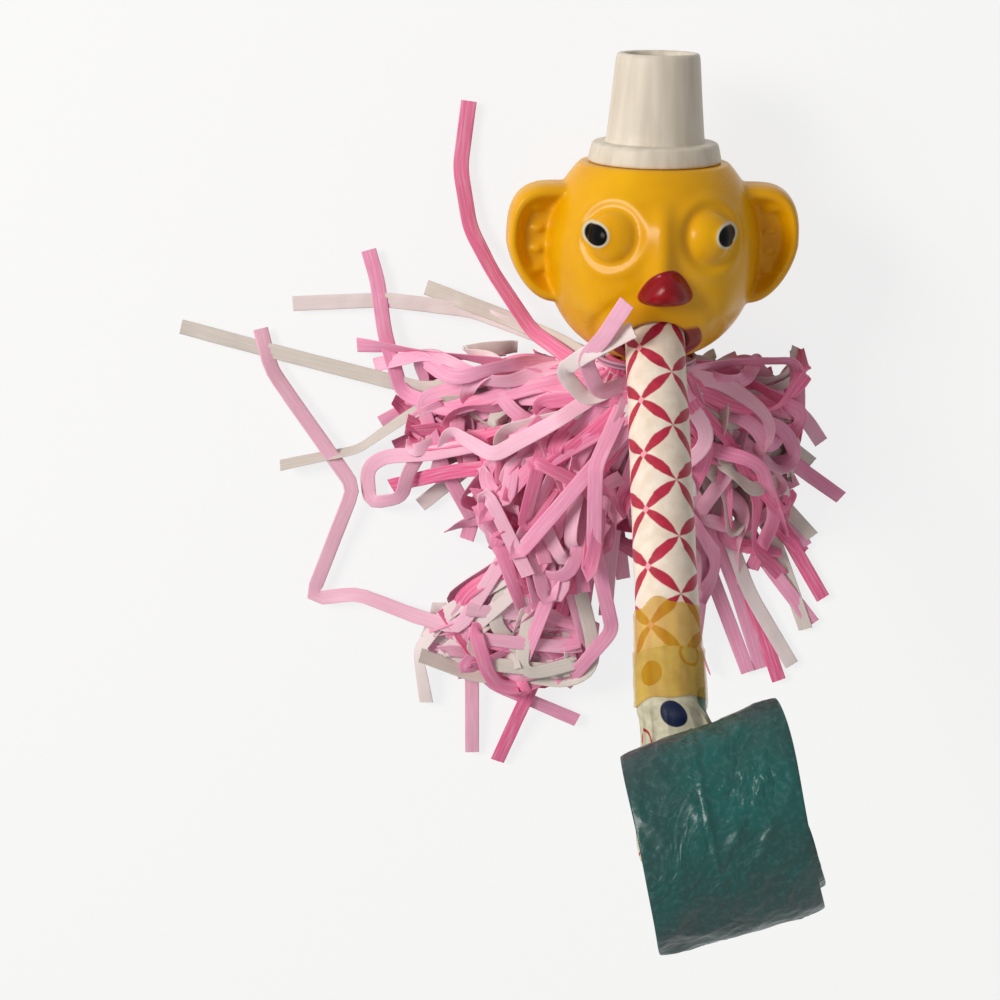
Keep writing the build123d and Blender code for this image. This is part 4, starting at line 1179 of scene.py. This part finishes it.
def tuft_lines(name, draw):
    """The paths of one tuft's ribbons: those the photograph shows, long ones, bunched ones and loose ones."""
    place, level, bounds, most, long_ones = TUFTS[name]
    kept, bunched, loose = SIDES[name.split("_")[1]]
    lines = [folded_line(corners, 2.2) for corners in STRAYS.get(name, [])]
    for heading, share in long_ones:
        lines.append(long_ribbon(draw, place, heading, share * kept * REACH, level))
    for _ in range(bunched):
        lines.append(bunched_ribbon(draw, place))
    for _ in range(loose):
        heading = draw.uniform(*bounds)
        reach = draw.uniform(0.3, 0.7) * most * REACH
        lines.append(loose_ribbon(draw, place, heading, reach, level))
    for k, line in enumerate(lines):
        line[:, 2] += LAYER_STEP * (k % LAYERS) * smooth(0, 12, np.arange(len(line)))
    return lines


def make_fringe():
    """Ten tufts, each a slice of ruff and the ribbons swept along its paths."""
    tree = ribbon_tree()
    sockets = {item.name: item.identifier for item in tree.interface.items_tree if item.in_out == "INPUT"}
    for seed, name in enumerate(TUFTS):
        draw = np.random.default_rng(100 + seed)
        slot = "white_ribbon" if name in WHITE_TUFTS else "pink_ribbon"
        paths = bpy.data.curves.new(name + "_paths", "CURVE")
        paths.dimensions = "3D"
        paths.twist_mode = "Z_UP"
        for line in tuft_lines(name, draw):
            spline = paths.splines.new("POLY")
            spline.points.add(len(line) - 1)
            places = np.concatenate([line[:, :3] * MM, np.ones((len(line), 1))], 1)
            spline.points.foreach_set("co", places.ravel())
            spline.points.foreach_set("tilt", line[:, 3].astype(np.float32))
            spline.points.foreach_set("radius", np.full(len(line), draw.uniform(0.6, 1.0), np.float32))
        drawn = new_object(name + "_paths", paths)
        sweep = drawn.modifiers.new("ribbon_sweep", "NODES")
        sweep.node_group = tree
        sweep[sockets["Ribbon Width"]] = RIBBON_WIDTH * MM
        sweep[sockets["Seed"]] = seed
        sweep[sockets["Finish"]] = finishes[slot]
        made = baked(drawn, name + "_ribbons")
        drop(drawn)
        settle(make_piece(name + "_ruff", *ruff_shell(TUFTS[name][0]), [slot]), "blower", slot)
        settle(made, "blower", slot, name)


def carried_over():
    """CAD parts whose shape is right keep it and get their finish."""
    slots = {"tube_core": "tube_card", "neck_tie": "binding_thread", "reed_body": "reed_plastic"}
    slots |= {"reed_wedge": "reed_plastic", "reed_tongue": "reed_brass"}
    for node, slot in slots.items():
        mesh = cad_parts[node].data
        mesh.materials.clear()
        mesh.materials.append(finishes[slot])


make_head()
make_hat()
make_wrap()
make_tape()
make_cuff()
make_roll()
make_lead()
make_fringe()
carried_over()

# Stage, in metres: white table, soft warm light from the upper left, camera over the part as in the photo.

TABLE_HALF = 3.0
TABLE_TOP = -0.4 * MM
LIGHT_AIM = Vector((-0.01, -0.03, 0.03))
# Each lamp: name, place, power, size and colour.
LAMPS = (
    ("key", (-0.54, 0.24, 0.44), 4.2, 0.28, (1.0, 0.96, 0.90)),
    ("fill", (0.45, -0.40, 0.50), 0.5, 0.5, (1.0, 0.90, 0.76)),
)
CAMERA_PLACE = (-0.03212, 0.05388, 0.320)
CAMERA_TURNS = (("Y", -0.0214), ("X", -0.3217), ("Z", 0.0122))
CAMERA_LENS = 63.1
WHITE = (1, 1, 1, 1)


def white_to_the_eye(tree):
    """1 for rays that show the background itself, straight or in a reflection."""
    seen = add(tree, "LightPath").node.outputs
    direct = add(tree, "Math MAXIMUM", [seen["Is Camera Ray"], seen["Is Glossy Ray"]])
    return add(tree, "Math MAXIMUM", [direct, seen["Is Transmission Ray"]])


def make_stage():
    floor = bpy.data.meshes.new("table")
    corners = [(x * TABLE_HALF, y * TABLE_HALF, TABLE_TOP) for x, y in ((-1, -1), (1, -1), (1, 1), (-1, 1))]
    floor.from_pydata(corners, [], [[0, 1, 2, 3]])
    table = new_object("table", floor)
    material = bpy.data.materials.new("white_table")
    material.use_nodes = True
    tree = material.node_tree
    tree.nodes.clear()
    matt = add(tree, "BsdfDiffuse", {"Color": (0.84, 0.84, 0.84, 1)})
    white = add(tree, "Emission", {"Color": WHITE, "Strength": 1.0})
    share = add(tree, "Math MULTIPLY", [white_to_the_eye(tree), 0.8])
    both = add(tree, "MixShader", [share, matt, white])
    add(tree, "OutputMaterial", {"Surface": both})
    floor.materials.append(material)
    world = bpy.data.worlds.new("studio")
    world.use_nodes = True
    bpy.context.scene.world = world
    tree = world.node_tree
    tree.nodes.clear()
    strength = add(tree, "MapRange", {"Value": white_to_the_eye(tree), "To Min": 0.27, "To Max": 1.0})
    sky = add(tree, "Background", {"Color": WHITE, "Strength": strength})
    add(tree, "OutputWorld", {"Surface": sky})
    for name, place, power, size, colour in LAMPS:
        lamp = bpy.data.lights.new(name, "AREA")
        lamp.energy = power
        lamp.size = size
        lamp.color = colour
        light = new_object(name, lamp)
        light.location = place
        light.rotation_euler = (LIGHT_AIM - Vector(place)).to_track_quat("-Z", "Y").to_euler()


def make_camera():
    lens = bpy.data.cameras.new("camera")
    lens.lens = CAMERA_LENS
    lens.sensor_width = 36
    lens.clip_start = 0.01
    camera = new_object("camera", lens)
    placed = Matrix.Translation(CAMERA_PLACE)
    for axis, angle in CAMERA_TURNS:
        placed = placed @ Matrix.Rotation(angle, 4, axis)
    camera.matrix_world = placed
    bpy.context.scene.camera = camera


make_stage()
make_camera()
bpy.context.scene.view_settings.view_transform = "Standard"
